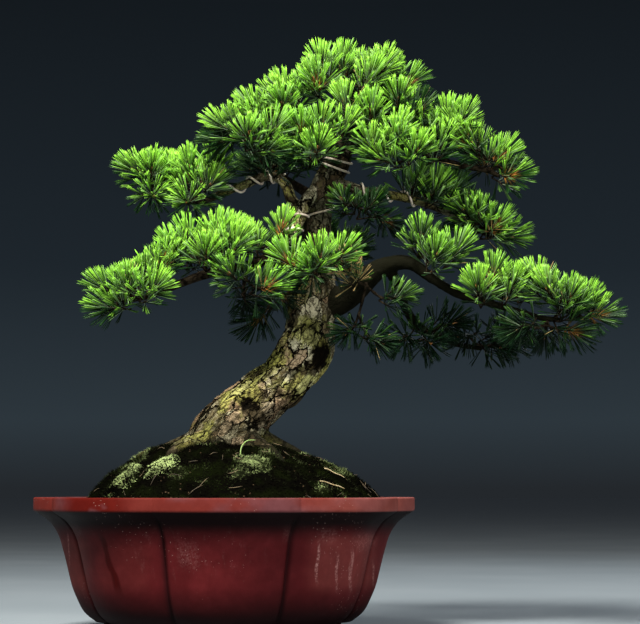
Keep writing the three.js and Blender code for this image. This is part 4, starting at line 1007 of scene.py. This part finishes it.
def buildPot():
    corner, wall = potFinish["rimCorner"], potFinish["wallCorner"]
    sizes = [wall] * 5 + [1.5 * corner] + [corner] * 4 + [wall] * 3
    line = softenCorners([*potOutside, *potInside], sizes)
    rimTop, rimMiddle = potOutside[-1][1], (potOutside[-1][0] + potInside[0][0]) / 2
    turnIn = int(np.argmax((line[:, 1] > rimTop - 0.1) & (line[:, 0] < rimMiddle)))  # past the rim's middle
    outside = np.arange(len(line)) < turnIn
    depths = np.where(outside, 1.0, potLook["innerLobes"]) * potLook["lobeDepth"]
    valleys = np.where(outside, potFinish["valley"], 0.02)
    pressed = outside * ease(9, 20, line[:, 1]) * (1 - 0.75 * ease(118, 130, line[:, 1]))
    angle = lobeAngles(potFinish["perLobe"], potFinish["pinch"])
    parts = [skinOver(potRings(line, depths, angle, valleys, potFinish["groove"] * pressed))]
    # painted shade along each groove, carried by the groove mark
    beside = besideGroove(line, angle, potFinish["grooveShadeWidth"])
    seam = pressed[:, None] * np.exp(-(beside ** 1.5)) * potFinish["grooveShadeStrength"]
    foot = potLook["footAngle"]
    parts += [footParts(degrees) for degrees in (foot, 180 - foot, 180 + foot, 360 - foot)]
    points, faces = together(parts)
    groove = np.concatenate([seam.ravel(), np.zeros(len(points) - seam.size)])
    pot = addPiece("stonewarePot", points, faces, [stoneware], "stoneware", ["pot"], {"groove": groove})
    radius, drain = potLook["drainRadius"], potLook["drainAcross"]
    low, high = potLook["drainLow"], potLook["drainHigh"]
    cutWith(pot, [cylinderParts(radius, low, high, across) for across in (-drain, drain)])
    print("stage: pot", len(pot.data.polygons), "faces")


# Drain screens: a woven square of plastic mesh over each hole
screenLook = {"side": 34, "low": 23.3, "thick": 1.2, "bars": 12, "bar": 0.9, "wave": 0.28, "round": 0.7}


def buildScreens():
    size, bars, bar = screenLook["side"], screenLook["bars"], screenLook["bar"]
    line = np.linspace(-size / 2, size / 2, 4 * bars)
    drain = potLook["drainAcross"]
    for side, middle in (("left", -drain), ("right", drain)):
        parts = []
        for k in range(bars):
            fixed = np.full(len(line), -size / 2 + bar / 2 + (size - bar) * k / (bars - 1))
            wave = screenLook["wave"] * np.sin(line * np.pi * (bars - 1) / size + (k % 2) * np.pi)
            for turned in (False, True):
                x, y = (fixed, line) if turned else (line, fixed)
                height = screenLook["low"] + screenLook["thick"] / 2 + (wave if turned else -wave)
                level = np.tile([1.0, 0, 0] if turned else [0, 1.0, 0], (len(line), 1))
                upright = np.tile([0, 0, 1.0], (len(line), 1))
                centres = np.stack([x + middle, y, height], -1)
                rings = ringsAlong(centres, level, upright, bar / 2 * screenLook["round"], 6)
                parts.append(skinOver(rings[:, ::-1] if turned else rings))
        addPiece("meshScreen." + side, *together(parts), [small["screenMesh"]], "plastic_mesh",
                 ["drain_screen_" + side])
    print("stage: drain screens")


# Soil mound under a skin of low moss, and cushions of taller moss
mossBlades = {
    "count": 9500, "leaves": 4, "length": (1.8, 4.2), "width": 0.75, "lean": 0.75, "tip": 0.2, "stray": 0.8,
    "clearOfPot": 3,
}
cushionBlades = {
    "perArea": 1.3, "leaves": 5, "length": (1.2, 2.8), "width": 0.7, "lean": 0.75, "tip": 0.3, "stray": 0.7,
}
litterLook = {
    "count": 80, "within": (0.1, 0.86), "length": (7, 17), "ends": (1, 3), "middle": 2.2,
    "radii": [0.2, 0.33, 0.33, 0.15],
}
cushions = {  # across, towards the viewer, radius, thickness, how fresh
    "moss_front_left": [-101, 79, 20, 7, 1.15],
    "moss_front": [-62, 92, 19, 6, 1.1],
    "moss_front_right": [32, 108, 14, 5, 0.5],
}
cushionDepth = 0.8  # a cushion's depth as a share of its width


def onPlan(x, y):  # level places, for noise that runs over the ground
    return np.stack([x, y, np.zeros(len(x))], -1)


def onMound(angle, reach):  # a place in the pot's oval
    return reach * np.cos(angle), potLook["depthShare"] * reach * np.sin(angle)


def mossSurface(x, y):  # the mound with the lumps of its moss
    flat = onPlan(x, y)
    near, _, _ = cellPattern(flat / 11, 5)
    lumps = 2.9 * softNoise(flat / 22, 1) + 1.8 * softNoise(flat / 9, 2) + 3 * (0.5 - near)
    away = np.hypot(x, y / potLook["depthShare"]) / moundLook["edgeRadius"]
    return moundHeight(x, y) + lumps * (1 - ease(0.9, 1, away))


def threeSides(centre, radius, side, other):  # the corners of a three-sided leaf
    turns = (2 * math.pi * k / 3 for k in range(3))
    return [centre + radius * (math.cos(turn) * side + math.sin(turn) * other) for turn in turns]


def sidesOf(heading, rng):  # two directions square to each heading, turned at random
    side = unit(np.cross(heading, rng.normal(size=heading.shape)))
    return side, np.cross(heading, side)


def surfaceNormals(x, y, height, step=0.5):
    slopeX = (height(x + step, y) - height(x - step, y)) / (2 * step)
    slopeY = (height(x, y + step) - height(x, y - step)) / (2 * step)
    return unit(np.stack([-slopeX, -slopeY, np.ones(len(x))], -1))


def spiral(count):  # places that fill a disc evenly: how far each has turned, and its share of the radius
    number = np.arange(count)
    return number * goldenTurn, np.sqrt((number + 0.5) / count)


def growLeaves(x, y, height, look, rng):  # small three-sided leaves in clumps on a surface
    roots = np.stack([x, y, height(x, y)], -1)
    normals = surfaceNormals(x, y, height)
    root, normal = (np.repeat(some, look["leaves"], axis=0) for some in (roots, normals))
    grow = unit(normal + look["lean"] * rng.normal(size=(len(root), 3)) * [1, 1, 0.5])
    length = rng.uniform(*look["length"], len(root))[:, None]
    side, other = sidesOf(grow, rng)
    corners = threeSides(root - 0.5 * grow, look["width"] / 2, side, other)
    points = np.stack([*corners, root + grow * length], axis=1).reshape(-1, 3)
    start = 4 * np.arange(len(root))[:, None]
    return roots, points, np.concatenate([start + [0, 1, 3], start + [1, 2, 3], start + [2, 0, 3]])


def leafTones(growth, look):  # the fourth point of each leaf is its tip
    tone = np.repeat(growth, 4 * look["leaves"])
    tone[3::4] += look["tip"]
    return tone


def dryNeedle(rng):  # one fallen needle, somewhere on the mound
    angle = rng.uniform(0, 2 * math.pi)
    away = moundLook["edgeRadius"] * math.sqrt(rng.uniform(*litterLook["within"]))
    middle = np.array(onMound(angle, away))
    heading, long = rng.uniform(0, math.pi), rng.uniform(*litterLook["length"])
    line = middle + long * np.array([[-0.5], [0], [0.5]]) * [math.cos(heading), math.sin(heading)]
    ends = litterLook["ends"]
    lift = [rng.uniform(*ends), litterLook["middle"], rng.uniform(*ends)]
    line = np.column_stack([line, mossSurface(line[:, 0], line[:, 1]) + lift])
    return tubeAlong(line, np.array(litterLook["radii"]), 4)


def buildSoil(seed=11, gap=0.6):  # the gap is left between soil and pot
    angle = lobeAngles(moundLook["perLobe"])
    depth = potLook["innerLobes"] * potLook["lobeDepth"]
    wall = np.array([[128, 23.3], [148, 33], [169, 100], [189, 129]]) - [gap, 0]
    shares = np.linspace(1, 0.004, moundLook["rings"])[:, None]
    x, y = onMound(angle, moundLook["edgeRadius"] * shares * lobe(angle, depth * shares ** 2))
    height = mossSurface(x.ravel(), y.ravel()).reshape(x.shape)
    height[0] = moundLook["edge"]
    skin = skinOver(np.concatenate([potRings(wall, [depth] * 4, angle), np.stack([x, y, height], -1)]))
    rng = np.random.default_rng(seed)
    count, stray = mossBlades["count"], mossBlades["stray"]
    turn, share = spiral(count)
    x, y = onMound(turn, share * (moundLook["edgeRadius"] - mossBlades["clearOfPot"]) * lobe(turn, depth))
    x, y = x + rng.normal(0, stray, count), y + rng.normal(0, stray, count)
    roots, *leaves = growLeaves(x, y, mossSurface, mossBlades, rng)
    litter = together([dryNeedle(rng) for _ in range(litterLook["count"])])
    points, faces = together([skin, leaves, litter])
    growth = 0.02 + 0.5 * ease(0.15, 0.6, softNoise(roots / 22, 7)) + 0.25 * rng.random(count)
    ground = 0.05 + 0.3 * ease(0.12, 0.6, softNoise(skin[0] / 22, 7))
    tone = np.concatenate([ground, leafTones(growth, mossBlades), np.zeros(len(litter[0]))])
    finish = np.repeat([0, 1], [len(faces) - len(litter[1]), len(litter[1])])
    addPiece("mossyMound", points, faces, [darkMoss, small["litter"]], "mossy_soil", ["soil"],
             {"tone": np.clip(tone, 0, 1)}, None, finish)
    print("stage: mound", len(faces), "faces")


def buildCushion(node, number):
    across, toward, radius, thick, fresh = cushions[node]

    def ragged(angle):
        waves = 0.14 * np.sin(2 * angle + across) + 0.1 * np.cos(3 * angle + toward)
        return 1 + waves + 0.07 * np.sin(7 * angle + across) + 0.05 * np.sin(11 * angle)

    def onCushion(angle, share):
        reach = radius * share * ragged(angle)
        return across + reach * np.cos(angle), -toward + cushionDepth * reach * np.sin(angle)

    def cushionTop(x, y):
        over, back = x - across, (y + toward) / cushionDepth
        share = np.minimum(np.hypot(over, back) / (radius * ragged(np.arctan2(back, over))), 1)
        flat = onPlan(x, y)
        near, _, _ = cellPattern(flat / 9, 9)
        lumps = 1.4 * softNoise(flat / 5, 3) + 3.6 * (0.5 - near)
        dome = thick * (1 - share * share) + 1 - 3.2 * share ** 6
        return moundHeight(x, y) + dome + lumps * (1 - share ** 4)

    x, y = onCushion(evenAngles(72), np.linspace(1, 0.02, 22)[:, None])
    height = cushionTop(x.ravel(), y.ravel()).reshape(x.shape)
    under = np.stack([x[:1], y[:1], height[:1] - 3], -1)
    skin = skinOver(np.concatenate([under, np.stack([x, y, height], -1)]))
    rng = np.random.default_rng(21 + number)
    count, stray = int(cushionBlades["perArea"] * radius * radius), cushionBlades["stray"]
    turn, share = spiral(count)
    x, y = onCushion(turn, 0.97 * share)
    x, y = x + rng.normal(0, stray, count), y + rng.normal(0, stray, count)
    roots, *leaves = growLeaves(x, y, cushionTop, cushionBlades, rng)
    points, faces = together([skin, leaves])
    growth = fresh * (0.62 * (1 - share ** 1.5) + 0.3 * rng.random(count) + 0.7 * softNoise(roots / 9, 5))
    tone = np.concatenate([np.full(len(skin[0]), 0.12), leafTones(growth, cushionBlades)])
    addPiece(node.replace("moss_", "mossCushion."), points, faces, [brightMoss], "moss", [node],
             {"tone": np.clip(tone, 0, 1)})


# Wood: limbs grown into one skin, then plated bark raised on the old parts
woodLook = {  # sizes across, across and along the limb, and how far each kind of relief rises
    "voxel": 1.58, "blend": 6, "smoothing": 10, "plate": [11, 11, 38], "flake": [4.6, 4.6, 13],
    "furrow": [11, 11, 60], "swell": [14, 14, 24], "fibre": [1.4, 1.4, 7],
    "plateRise": 1.2, "plateStep": 1.6, "furrowDepth": 1.4, "flakeStep": 0.6, "flakeSeam": 0.3,
    "swellRise": 1.3, "fibreRise": 0.22, "lumpRise": 0.3, "youngShare": 0.35,
}
# How dark the bark of the limbs in the pads' shade is, and that of each root
shadedLimbs = {"lowerRight": 0.985, "lowerRightBack": 0.975, "backLower": 0.75}
shadedRoots = [0.35, 0.4, 0.9, 0.85, 0.7, 0.8]
# How much grown-up bark a branch has, and how far out it reaches
palerLimbs = {"lowerLeft": (0.95, 62), "leftUpper": (0.4, 130), "rightMiddle": (0.35, 150)}
knots = [  # across, up, towards the viewer, radius, rise, how dark
    [26, 246, 34, 17, -5, 1.0], [106, 299, 27, 25, 2.5, 1.0], [117, 362, 20, 6, 3, 0],
    [96, 330, 32, 7, 2, 0.2], [58, 262, 36, 8, -2, 0.6], [-8, 222, 36, 9, 2.5, 0.1], [30, 215, 38, 8, 3, 0.2],
]


def limbSkin(limb, sides, steps, lumps):
    shares = np.linspace(0, 1, steps + 1)
    centres, tangents, side, other = framesAlong(lambda s: limbPoints(limb, s), shares)
    angle = evenAngles(sides)
    radii = limbRadius(limb, shares)[:, None] * np.ones(sides)
    if lumps:
        slow = np.sin(2 * angle + 17 * shares[:, None])
        quick = np.sin(3 * angle - 31 * shares[:, None] + 1)
        radii = radii * (1 + barkRelief * (0.6 * slow + 0.5 * quick))
    rings = ringsAlong(centres, side, other, radii, sides)
    beyond = centres[-1:] + tangents[-1:] * radii[-1, 0]
    end = ringsAlong(beyond, side[-1:], other[-1:], 0.5 * radii[-1:], sides)
    return skinOver(np.concatenate([rings, end]))


# For each point: the radius of the nearest limb, the place round and along it, its number, how much nearer
def nearestLimb(points, batch=8000):
    best, second = np.full(len(points), 1e9), np.full(len(points), 1e9)
    radius, turn, along, which = (np.zeros(len(points)) for _ in range(4))
    for number, limb in enumerate([*limbs.values(), *roots]):
        shares = np.linspace(0, 1, 12 * len(limb))
        centres, tangents, side, other = framesAlong(lambda s: limbPoints(limb, s), shares)
        thick = limbRadius(limb, shares)
        travelled = np.concatenate([[0], np.cumsum(np.linalg.norm(np.diff(centres, axis=0), axis=1))])
        closest = np.empty(len(points), int)
        score = np.empty(len(points))
        for low in range(0, len(points), batch):
            some = slice(low, low + batch)
            apart = np.linalg.norm(points[some, None] - centres, axis=2) - thick
            closest[some] = apart.argmin(axis=1)
            score[some] = apart.min(axis=1)
        away = points - centres[closest]
        angle = np.arctan2((away * other[closest]).sum(1), (away * side[closest]).sum(1))
        length = travelled[closest] + (away * tangents[closest]).sum(1)
        wins = score < best
        second = np.where(wins, best, np.minimum(second, score))
        best = np.where(wins, score, best)
        radius, turn = np.where(wins, thick[closest], radius), np.where(wins, angle, turn)
        along, which = np.where(wins, length, along), np.where(wins, number, which)
    return radius, turn, along, which, second - best


def vertexNormals(points, faces):
    corners = points[faces]
    normal = np.cross(corners[:, 1] - corners[:, 0], corners[:, 2] - corners[:, 0])
    total = np.zeros_like(points)
    for k in range(3):
        np.add.at(total, faces[:, k], normal)
    return unit(total)


def fusedWood():  # all limbs as one skin of small triangles
    parts = [limbSkin(trunk, 48, 190, True)]
    parts += [limbSkin(root, 24, 60, False) for root in roots]
    parts += [limbSkin(limb, 20, 18 * len(limb), False) for limb in branches.values()]
    rough = newObject("roughWood", newMesh("roughWood", *together(parts)))
    remesh = rough.modifiers.new("fuse", "REMESH")
    remesh.mode, remesh.voxel_size, remesh.adaptivity = "VOXEL", woodLook["voxel"], 0
    fused = finished(rough)
    fused.calc_loop_triangles()
    points = np.empty(3 * len(fused.vertices), np.float32)
    faces = np.empty(3 * len(fused.loop_triangles), np.int32)
    fused.vertices.foreach_get("co", points)
    fused.loop_triangles.foreach_get("vertices", faces)
    bpy.data.objects.remove(rough)
    return points.reshape(-1, 3).astype(float), faces.reshape(-1, 3)


def smoothed(points, faces, share):  # moves each point towards its neighbours' middle, by its own share
    degree = 2 * np.bincount(faces.ravel(), minlength=len(points))[:, None]
    for _ in range(woodLook["smoothing"]):
        total = np.zeros_like(points)
        for k in range(3):
            np.add.at(total, faces[:, k], points[faces[:, (k + 1) % 3]] + points[faces[:, (k + 2) % 3]])
        points = points + share[:, None] * (total / degree - points)
    return points


def buildWood():
    look = woodLook
    points, faces = fusedWood()
    radius, turn, along, which, gap = nearestLimb(points)
    joint = np.exp(-((gap / look["blend"]) ** 2)) * ease(2.5, 5, radius)  # softens only where limbs join
    points = smoothed(points, faces, 0.8 * joint)
    # Plates, flakes and furrows are cells in the limb's own unrolled space, stretched along the limb
    onBranch = (which > 0) & (which < len(limbs))
    old = ease(6, 17, radius) * np.where(onBranch, look["youngShare"], 1)
    for name, (share, far) in palerLimbs.items():
        old = np.maximum(old, share * (which == list(limbs).index(name)) * ease(far + 30, far, along))
    curl = np.stack([radius * np.cos(turn), radius * np.sin(turn), along], -1)
    warp = np.stack([0.5 * softNoise(curl / 9 + 40 * k, k) + 1.6 * softNoise(curl / 28 + 60 * k, k)
                     for k in range(3)], -1)
    shift = 1000 * which[:, None]
    nearest, second, tone = cellPattern((curl + 2.6 * warp) / look["plate"] + shift, 31)
    plate = ease(0, 0.2, second - nearest) - 0.8
    nearest, second, flakeTone = cellPattern((curl + 1.2 * warp) / look["flake"] + shift, 57)
    fine = 1 - ease(0.0, 0.17, second - nearest)
    furrow = 1 - ease(0.0, 0.13, np.abs(softNoise(curl / look["furrow"] + shift, 44)))
    rise = look["plateRise"] * plate + look["plateStep"] * (tone - 0.5) - look["furrowDepth"] * furrow
    rise += look["flakeStep"] * (flakeTone - 0.5) - look["flakeSeam"] * fine
    rise += look["swellRise"] * softNoise(curl / look["swell"], 19)
    twigRise = look["fibreRise"] * softNoise(curl / look["fibre"] + shift, 12)
    twigRise += look["lumpRise"] * softNoise(curl / 4 + shift, 13)
    amount = old * rise * np.clip(radius / 26, 0.35, 1.1) + (1 - old) * twigRise * np.clip(radius / 5, 0.3, 1)
    amount *= 0.3 + 0.7 * ease(0, 7, gap)
    ragged = 1 + 0.5 * softNoise(points / 7, 8) + 0.5 * softNoise(points / 2.6, 9)
    hollow = np.zeros(len(points))
    for across, up, toward, size, lift, dark in knots:
        away = np.linalg.norm(points - place(across, up, toward), axis=1) / size
        swell = np.exp(-((away * 1.25) ** 2) * 1.4)
        amount += lift * swell
        hollow = np.maximum(hollow, dark * ease(0.28, 0.68, swell * ragged))
    points = points + vertexNormals(points, faces) * amount[:, None]
    above = points[:, 2] - moundHeight(points[:, 0], points[:, 1])
    onTrunk = which == 0  # the trunk is wet at its foot and darker towards it, and gets painted shade the further up the crown covers it
    shaded = np.array([*(shadedLimbs.get(name, 0.0) for name in limbs), *shadedRoots])[which.astype(int)]
    wet = 0.85 * (1 - ease(1, 9, above + 3 * softNoise(points / 8, 4)))
    foot = 0.6 * (1 - ease(10, 48, above + 9 * softNoise(points / 14, 6))) * onTrunk
    # painted shade under the crown, on the upper trunk
    crown = 0.5 * ease(100, 150, above + 12 * softNoise(points / 20, 7)) + 0.27 * ease(205, 235, above)
    marks = {
        "barkPlace": (curl + shift) * mm,
        "crack": np.clip(0.75 * furrow * old + hollow, 0, 1),
        "age": old,
        "dampAndShade": np.maximum.reduce([wet, shaded, foot, crown * onTrunk]),
    }
    addPiece("barkedWood", points, faces, [oldBark], "bark", ["wood"], marks)
    print("stage: wood", len(faces), "faces")


def buildWires():
    for node, wire in wires.items():
        route = wireRoute(wire, wireLook["stepsPerTurn"])
        centres = smoothCurve(route, np.linspace(0, 1, len(route)))
        radii = wireLook["radius"] * (1 + wireLook["dents"] * softNoise(centres / 4, 3))
        addPiece(node.replace("wire_", "copperWire."), *tubeAlong(route, radii, wireLook["sides"]),
                 [small["trainingWire"]], "copper_wire", [node])
    print("stage: wires")


# Dry straws on the moss: across, towards the viewer, degrees that it is turned, length
straws = {"straw_long": [104, 96, 29, 30], "straw_short": [109, 62, 26, 24]}
strawLook = {"radius": 0.75, "thinner": 0.45, "above": 1.1, "bow": 0.5, "wave": 0.4, "knot": 0.35,
             "knotAt": 0.55}
grassLook = {"across": 20, "toward": 82, "route": [[0, -3], [1, 7], [7, 14], [16, 15]], "width": 1.1,
             "thick": 0.35}


def buildStraws():
    look = strawLook
    share = np.linspace(0, 1, 30)
    knot = 1 + look["knot"] * np.exp(-(((share - look["knotAt"]) / 0.03) ** 2))
    for node, (across, toward, heading, length) in straws.items():
        angle = math.radians(heading)
        x = across + share * length * math.cos(angle)
        y = -toward + share * length * math.sin(angle) + look["bow"] * np.sin(5 * share)
        height = moundHeight(x, y) + look["above"] + look["wave"] * np.sin(3 * np.pi * share)
        radii = look["radius"] * (1 - look["thinner"] * share) * knot
        addPiece(node.replace("straw_", "dryStraw."), *tubeAlong(np.stack([x, y, height], -1), radii, 8),
                 [small["dryStraw"]], "straw", [node])


def buildGrass():  # one pale blade, flat, and narrow at its tip
    x, y = grassLook["across"], -grassLook["toward"]
    line = [[x + over, y, moundHeight(x, y) + up] for over, up in grassLook["route"]]
    narrow = np.sqrt(np.clip(1 - np.linspace(0, 1, 40) ** 3, 0.01, 1))
    wide = (grassLook["width"] - grassLook["thick"]) * np.abs(np.sin(evenAngles(8)))
    points, faces = tubeAlong(line, narrow[:, None] * (grassLook["thick"] + wide), 8)
    addPiece("grassBlade", points, faces, [small["grassBlade"]], "grass", ["grass"])


# Sprays: each twig ends in a bud with bundles of five needles round its shoot
tuftLook = {
    "length": 32, "width": 1.02, "bundles": 27, "perBundle": 5, "splay": 0.055, "shoot": 13,
    "open": (1.45, 0.13), "stray": 0.07, "curl": 0.07, "lift": 0.14, "lengths": (0.88, 1.04),
    "inBark": 1.5, "offAxis": 1.1, "footWidth": 0.6, "bend": 0.86, "waxyShare": 0.28, "dull": 0.12,
}
# Side shoots: how many, their tufts, and the way that each takes, measured back from the end of its twig
sideLook = {
    "count": 2, "bundles": 9, "length": 27, "shoot": 10, "from": 16, "back": 9, "out": 5, "reach": 9,
    "lean": 0.95, "lift": 0.25, "turn": 2.4, "radii": (0.8, 0.6),
}
budLook = {"size": (0.8, 1.25), "middle": 2.5, "tip": 5.5, "radii": [0.9, 1.5, 1.75, 1.5, 0.9, 0.15]}
smallTufts = {"inner_middle": 0.74, "right_inner": 0.85, "lower_left_inner": 0.82}
dryTufts = {("right_inner", 0): 0.6}
sprayLight = {  # how much painted light a spray gets, where it isn't 1
    "right_hanging": 0.01, "right_hanging_inner": 0.01, "right_inner": 0.3, "right_lower_hanging": 0.42,
    "lower_left_hanging": 0.25, "inner_middle": 0.6, "back_lower": 0.5, "back_lower_inner": 0.4,
    "right_middle": 2.6, "right_middle_tip": 3, "right_fans": 1.3, "left_upper": 1.4, "left_upper_tip": 1.4,
    "right_lower": 0.78, "right_lower_tip": 0.82, "right_lower_top": 0.7, "crown_back": 0.35,
    "back_upper": 0.4, "back_middle": 0.4,
}
# Painted shade on the tufts round the dark gap in the crown: the share of their light that they keep
gapShade = {("crown_middle", 3): 0.3, ("crown_top", 4): 0.6, ("crown_front", 1): 0.8}
# What the tufts above leave of the light, what side shoots get of it, and how many tufts are rusty and
# needles straw-coloured
shadeLook = {"reach": 38, "past": 26, "share": 0.6, "sideShoots": 0.62, "rusty": 0.3, "straw": 0.003}
# Painted light on the needles: the least tone, what facing the light adds, random spread for each bundle,
# tuft and needle, and the most
toneLook = {
    "least": 0.22, "facing": 0.76, "perBundle": 0.16, "perTuft": 0.07, "perNeedle": 0.15, "most": 0.97,
}
lightWay = unit(np.array([0, -0.48, 0.88]))  # where the painted light comes from


def growNeedles(base, axis, bundles, length, shoot, rng):
    number = np.arange(bundles)
    along = (number + 0.5) / bundles
    side = unit(np.cross(axis, [0.31, 0.27, 0.91]))
    other = np.cross(axis, side)
    turn = number * goldenTurn + rng.uniform(0, 6.28)
    out = np.cos(turn)[:, None] * side + np.sin(turn)[:, None] * other
    wide, narrow = tuftLook["open"]
    opening = wide + (narrow - wide) * along ** 0.9 + rng.normal(0, tuftLook["stray"], bundles)
    root = base + axis * (shoot * along - tuftLook["inBark"])[:, None] + out * tuftLook["offAxis"]
    heading = np.cos(opening)[:, None] * axis + np.sin(opening)[:, None] * out
    each = tuftLook["perBundle"]
    root, heading = np.repeat(root, each, axis=0), np.repeat(heading, each, axis=0)
    heading = unit(heading + tuftLook["splay"] * rng.normal(size=heading.shape) + [0, 0, tuftLook["lift"]])
    long = length * np.repeat(rng.uniform(*tuftLook["lengths"], bundles) * (1 - 0.06 * along), each)
    return root, heading, long * rng.uniform(0.95, 1, len(root))


# Seven points a needle: three at its foot, three further up, and its tip
def needleMesh(root, heading, long, lean, rng):
    side, other = sidesOf(heading, rng)
    bow = lean * tuftLook["curl"] * long[:, None]
    bend = tuftLook["bend"]
    rings = []
    for share, thick in ((0, tuftLook["footWidth"]), (bend, 1.0)):
        centre = root + heading * (long * share)[:, None] + bow * share * share
        rings += threeSides(centre, thick * tuftLook["width"] / 2, side, other)
    tip = root + heading * long[:, None] + bow
    points = np.stack([*rings, tip], axis=1).reshape(-1, 3)
    start = 7 * np.arange(len(root))[:, None]
    faces, band = [], []
    waxy = np.where(rng.random(len(root)) < tuftLook["waxyShare"], 1.0, tuftLook["dull"])
    for k in range(3):
        n = (k + 1) % 3
        for corners in ([k, n, 3 + n], [k, 3 + n, 3 + k], [3 + k, 3 + n, 6]):
            faces.append(start + corners)
            band.append(waxy * (k != 1))
    along = np.tile([0] * 3 + [bend] * 3 + [1], len(root))
    return points, np.stack(faces, axis=1).reshape(-1, 3), np.stack(band, axis=1).ravel(), along


def openToLight():  # how much painted light each tuft gets past the tufts that stand over it
    tips = {(name, number): twig["base"] + 10 * twig["axis"]
            for name, spray in leafy.items() for number, twig in enumerate(spray["twigs"])}
    places = np.array(list(tips.values()))
    apart = places[None, :, :] - places[:, None, :]
    past = apart @ lightWay
    beside = np.linalg.norm(apart - past[..., None] * lightWay, axis=-1)
    over = np.clip(1 - beside / shadeLook["reach"], 0, 1) * np.clip((past - 8) / shadeLook["past"], 0, 1)
    return dict(zip(tips, np.exp(-shadeLook["share"] * over.sum(axis=1))))


def budParts(start, axis, rng):
    size = rng.uniform(*budLook["size"])
    middle, tip = (start + axis * budLook[key] * size for key in ("middle", "tip"))
    return tubeAlong([start, middle, tip], size * np.array(budLook["radii"]), 7)


def sideShoot(base, axis, turn):  # where it starts, which way it points, and its twig
    side = unit(np.cross(axis, [0.2, 0.9, 0.3]))
    out = math.cos(turn) * side + math.sin(turn) * np.cross(axis, side)
    back = base - axis * sideLook["back"] + out * sideLook["out"]
    lean = unit(axis + sideLook["lean"] * out + [0, 0, sideLook["lift"]])
    line = [base - axis * sideLook["from"], back, back + lean * sideLook["reach"]]
    return back, lean, tubeAlong(line, twigLook["radius"] * np.linspace(*sideLook["radii"], 6), 5)


# One tuft's needles, with what colours them: painted shade, a tone of painted light with random spread, and
# rust that dims in painted shade
def tuftNeedles(name, number, kind, tuft, light, rng):
    spot, way, bundles, length, shoot = tuft
    root, heading, long = growNeedles(spot, way, bundles, length * smallTufts.get(name, 1), shoot, rng)
    bright = light * (shadeLook["sideShoots"] if kind else 1) * sprayLight.get(name, 1)
    bright = min(1, bright * gapShade.get((name, number), 1))
    lean = np.tile(unit(way + [0, 0, 0.6]), (len(root), 1))
    look = toneLook
    facing = heading @ lightWay
    sunny = bright * (look["least"] + look["facing"] * facing)
    sunny = sunny + np.repeat(rng.normal(0, look["perBundle"], bundles), tuftLook["perBundle"])
    sunny = sunny + rng.normal(0, look["perTuft"]) + rng.normal(0, look["perNeedle"], len(root))
    straw = rng.random(len(root)) < dryTufts.get((name, number), shadeLook["straw"])
    tone = np.where(straw, 1.0, np.clip(sunny, 0, look["most"]))
    # painted shade where a tuft gets little light and a needle faces away from it
    inner = np.clip(1.15 * (1 - bright) - 0.1 - 0.4 * facing, 0, 0.95)
    rusty = kind == 0 and hashed(np.array([[number, len(name), 7]]), 3)[0] < shadeLook["rusty"]
    return root, heading, long, lean, inner, tone, np.full(len(root), rusty * bright)


def buildSpray(name, spray, light, rng):
    look, radius = tuftLook, twigLook["radius"]
    stub = np.linspace(spray["inside"], spray["fork"], 3)
    wood, buds, needles = [tubeAlong(stub, np.array(twigLook["stubRadii"]), 8)], [], []
    share = np.linspace(0, 1, 3 * twigLook["steps"])
    for number, twig in enumerate(spray["twigs"]):
        base, axis = twig["base"], twig["axis"]
        line = [twig["start"], twig["bend"], base, base + axis * look["shoot"] * 0.9]
        radii = radius * (1.25 - 0.35 * share) * (1 + twigLook["scars"] * np.sin(36 * share + number))
        wood.append(tubeAlong(line, radii, twigLook["sides"]))
        buds.append(budParts(base + axis * look["shoot"] * 0.85, axis, rng))
        tufts = [(base, axis, look["bundles"], look["length"], look["shoot"])]
        for k in range(sideLook["count"]):
            back, lean, shoot = sideShoot(base, axis, sideLook["turn"] * (number + k) + rng.uniform(0, 1))
            wood.append(shoot)
            tufts.append((back, lean, sideLook["bundles"], sideLook["length"], sideLook["shoot"]))
        needles += [tuftNeedles(name, number, kind, tuft, light[name, number], rng)
                    for kind, tuft in enumerate(tufts)]
    root, heading, long, lean, *colours = map(np.concatenate, zip(*needles))
    leafPoints, leafFaces, band, along = needleMesh(root, heading, long, lean, rng)
    parts = [together(wood), together(buds), (leafPoints, leafFaces)]
    points, faces = together(parts)
    bare = np.zeros(len(points) - len(along))
    marks = {"along": np.concatenate([bare, along])}
    for mark, value in zip(("inner", "tone", "warm"), colours):
        marks[mark] = np.concatenate([bare, np.repeat(value, 7)])
    band = np.concatenate([np.zeros(len(faces) - len(band)), band])
    finish = np.repeat([0, 1, 2], [len(part[1]) for part in parts])
    addPiece("needles." + name, points, faces, [youngBark, small["budScales"], greenNeedles], "needles",
             ["spray_" + name], marks, {"band": band}, finish)
    return len(faces)


buildPot()
buildScreens()
buildSoil()
for number, node in enumerate(cushions):
    buildCushion(node, number)
print("stage: moss cushions")
buildWood()
buildWires()
buildStraws()
buildGrass()
print("stage: straws and grass")
light = openToLight()
total = 0
for number, (name, spray) in enumerate(leafy.items()):
    total += buildSpray(name, spray, light, np.random.default_rng(100 + number))
print("stage: sprays", total, "faces")
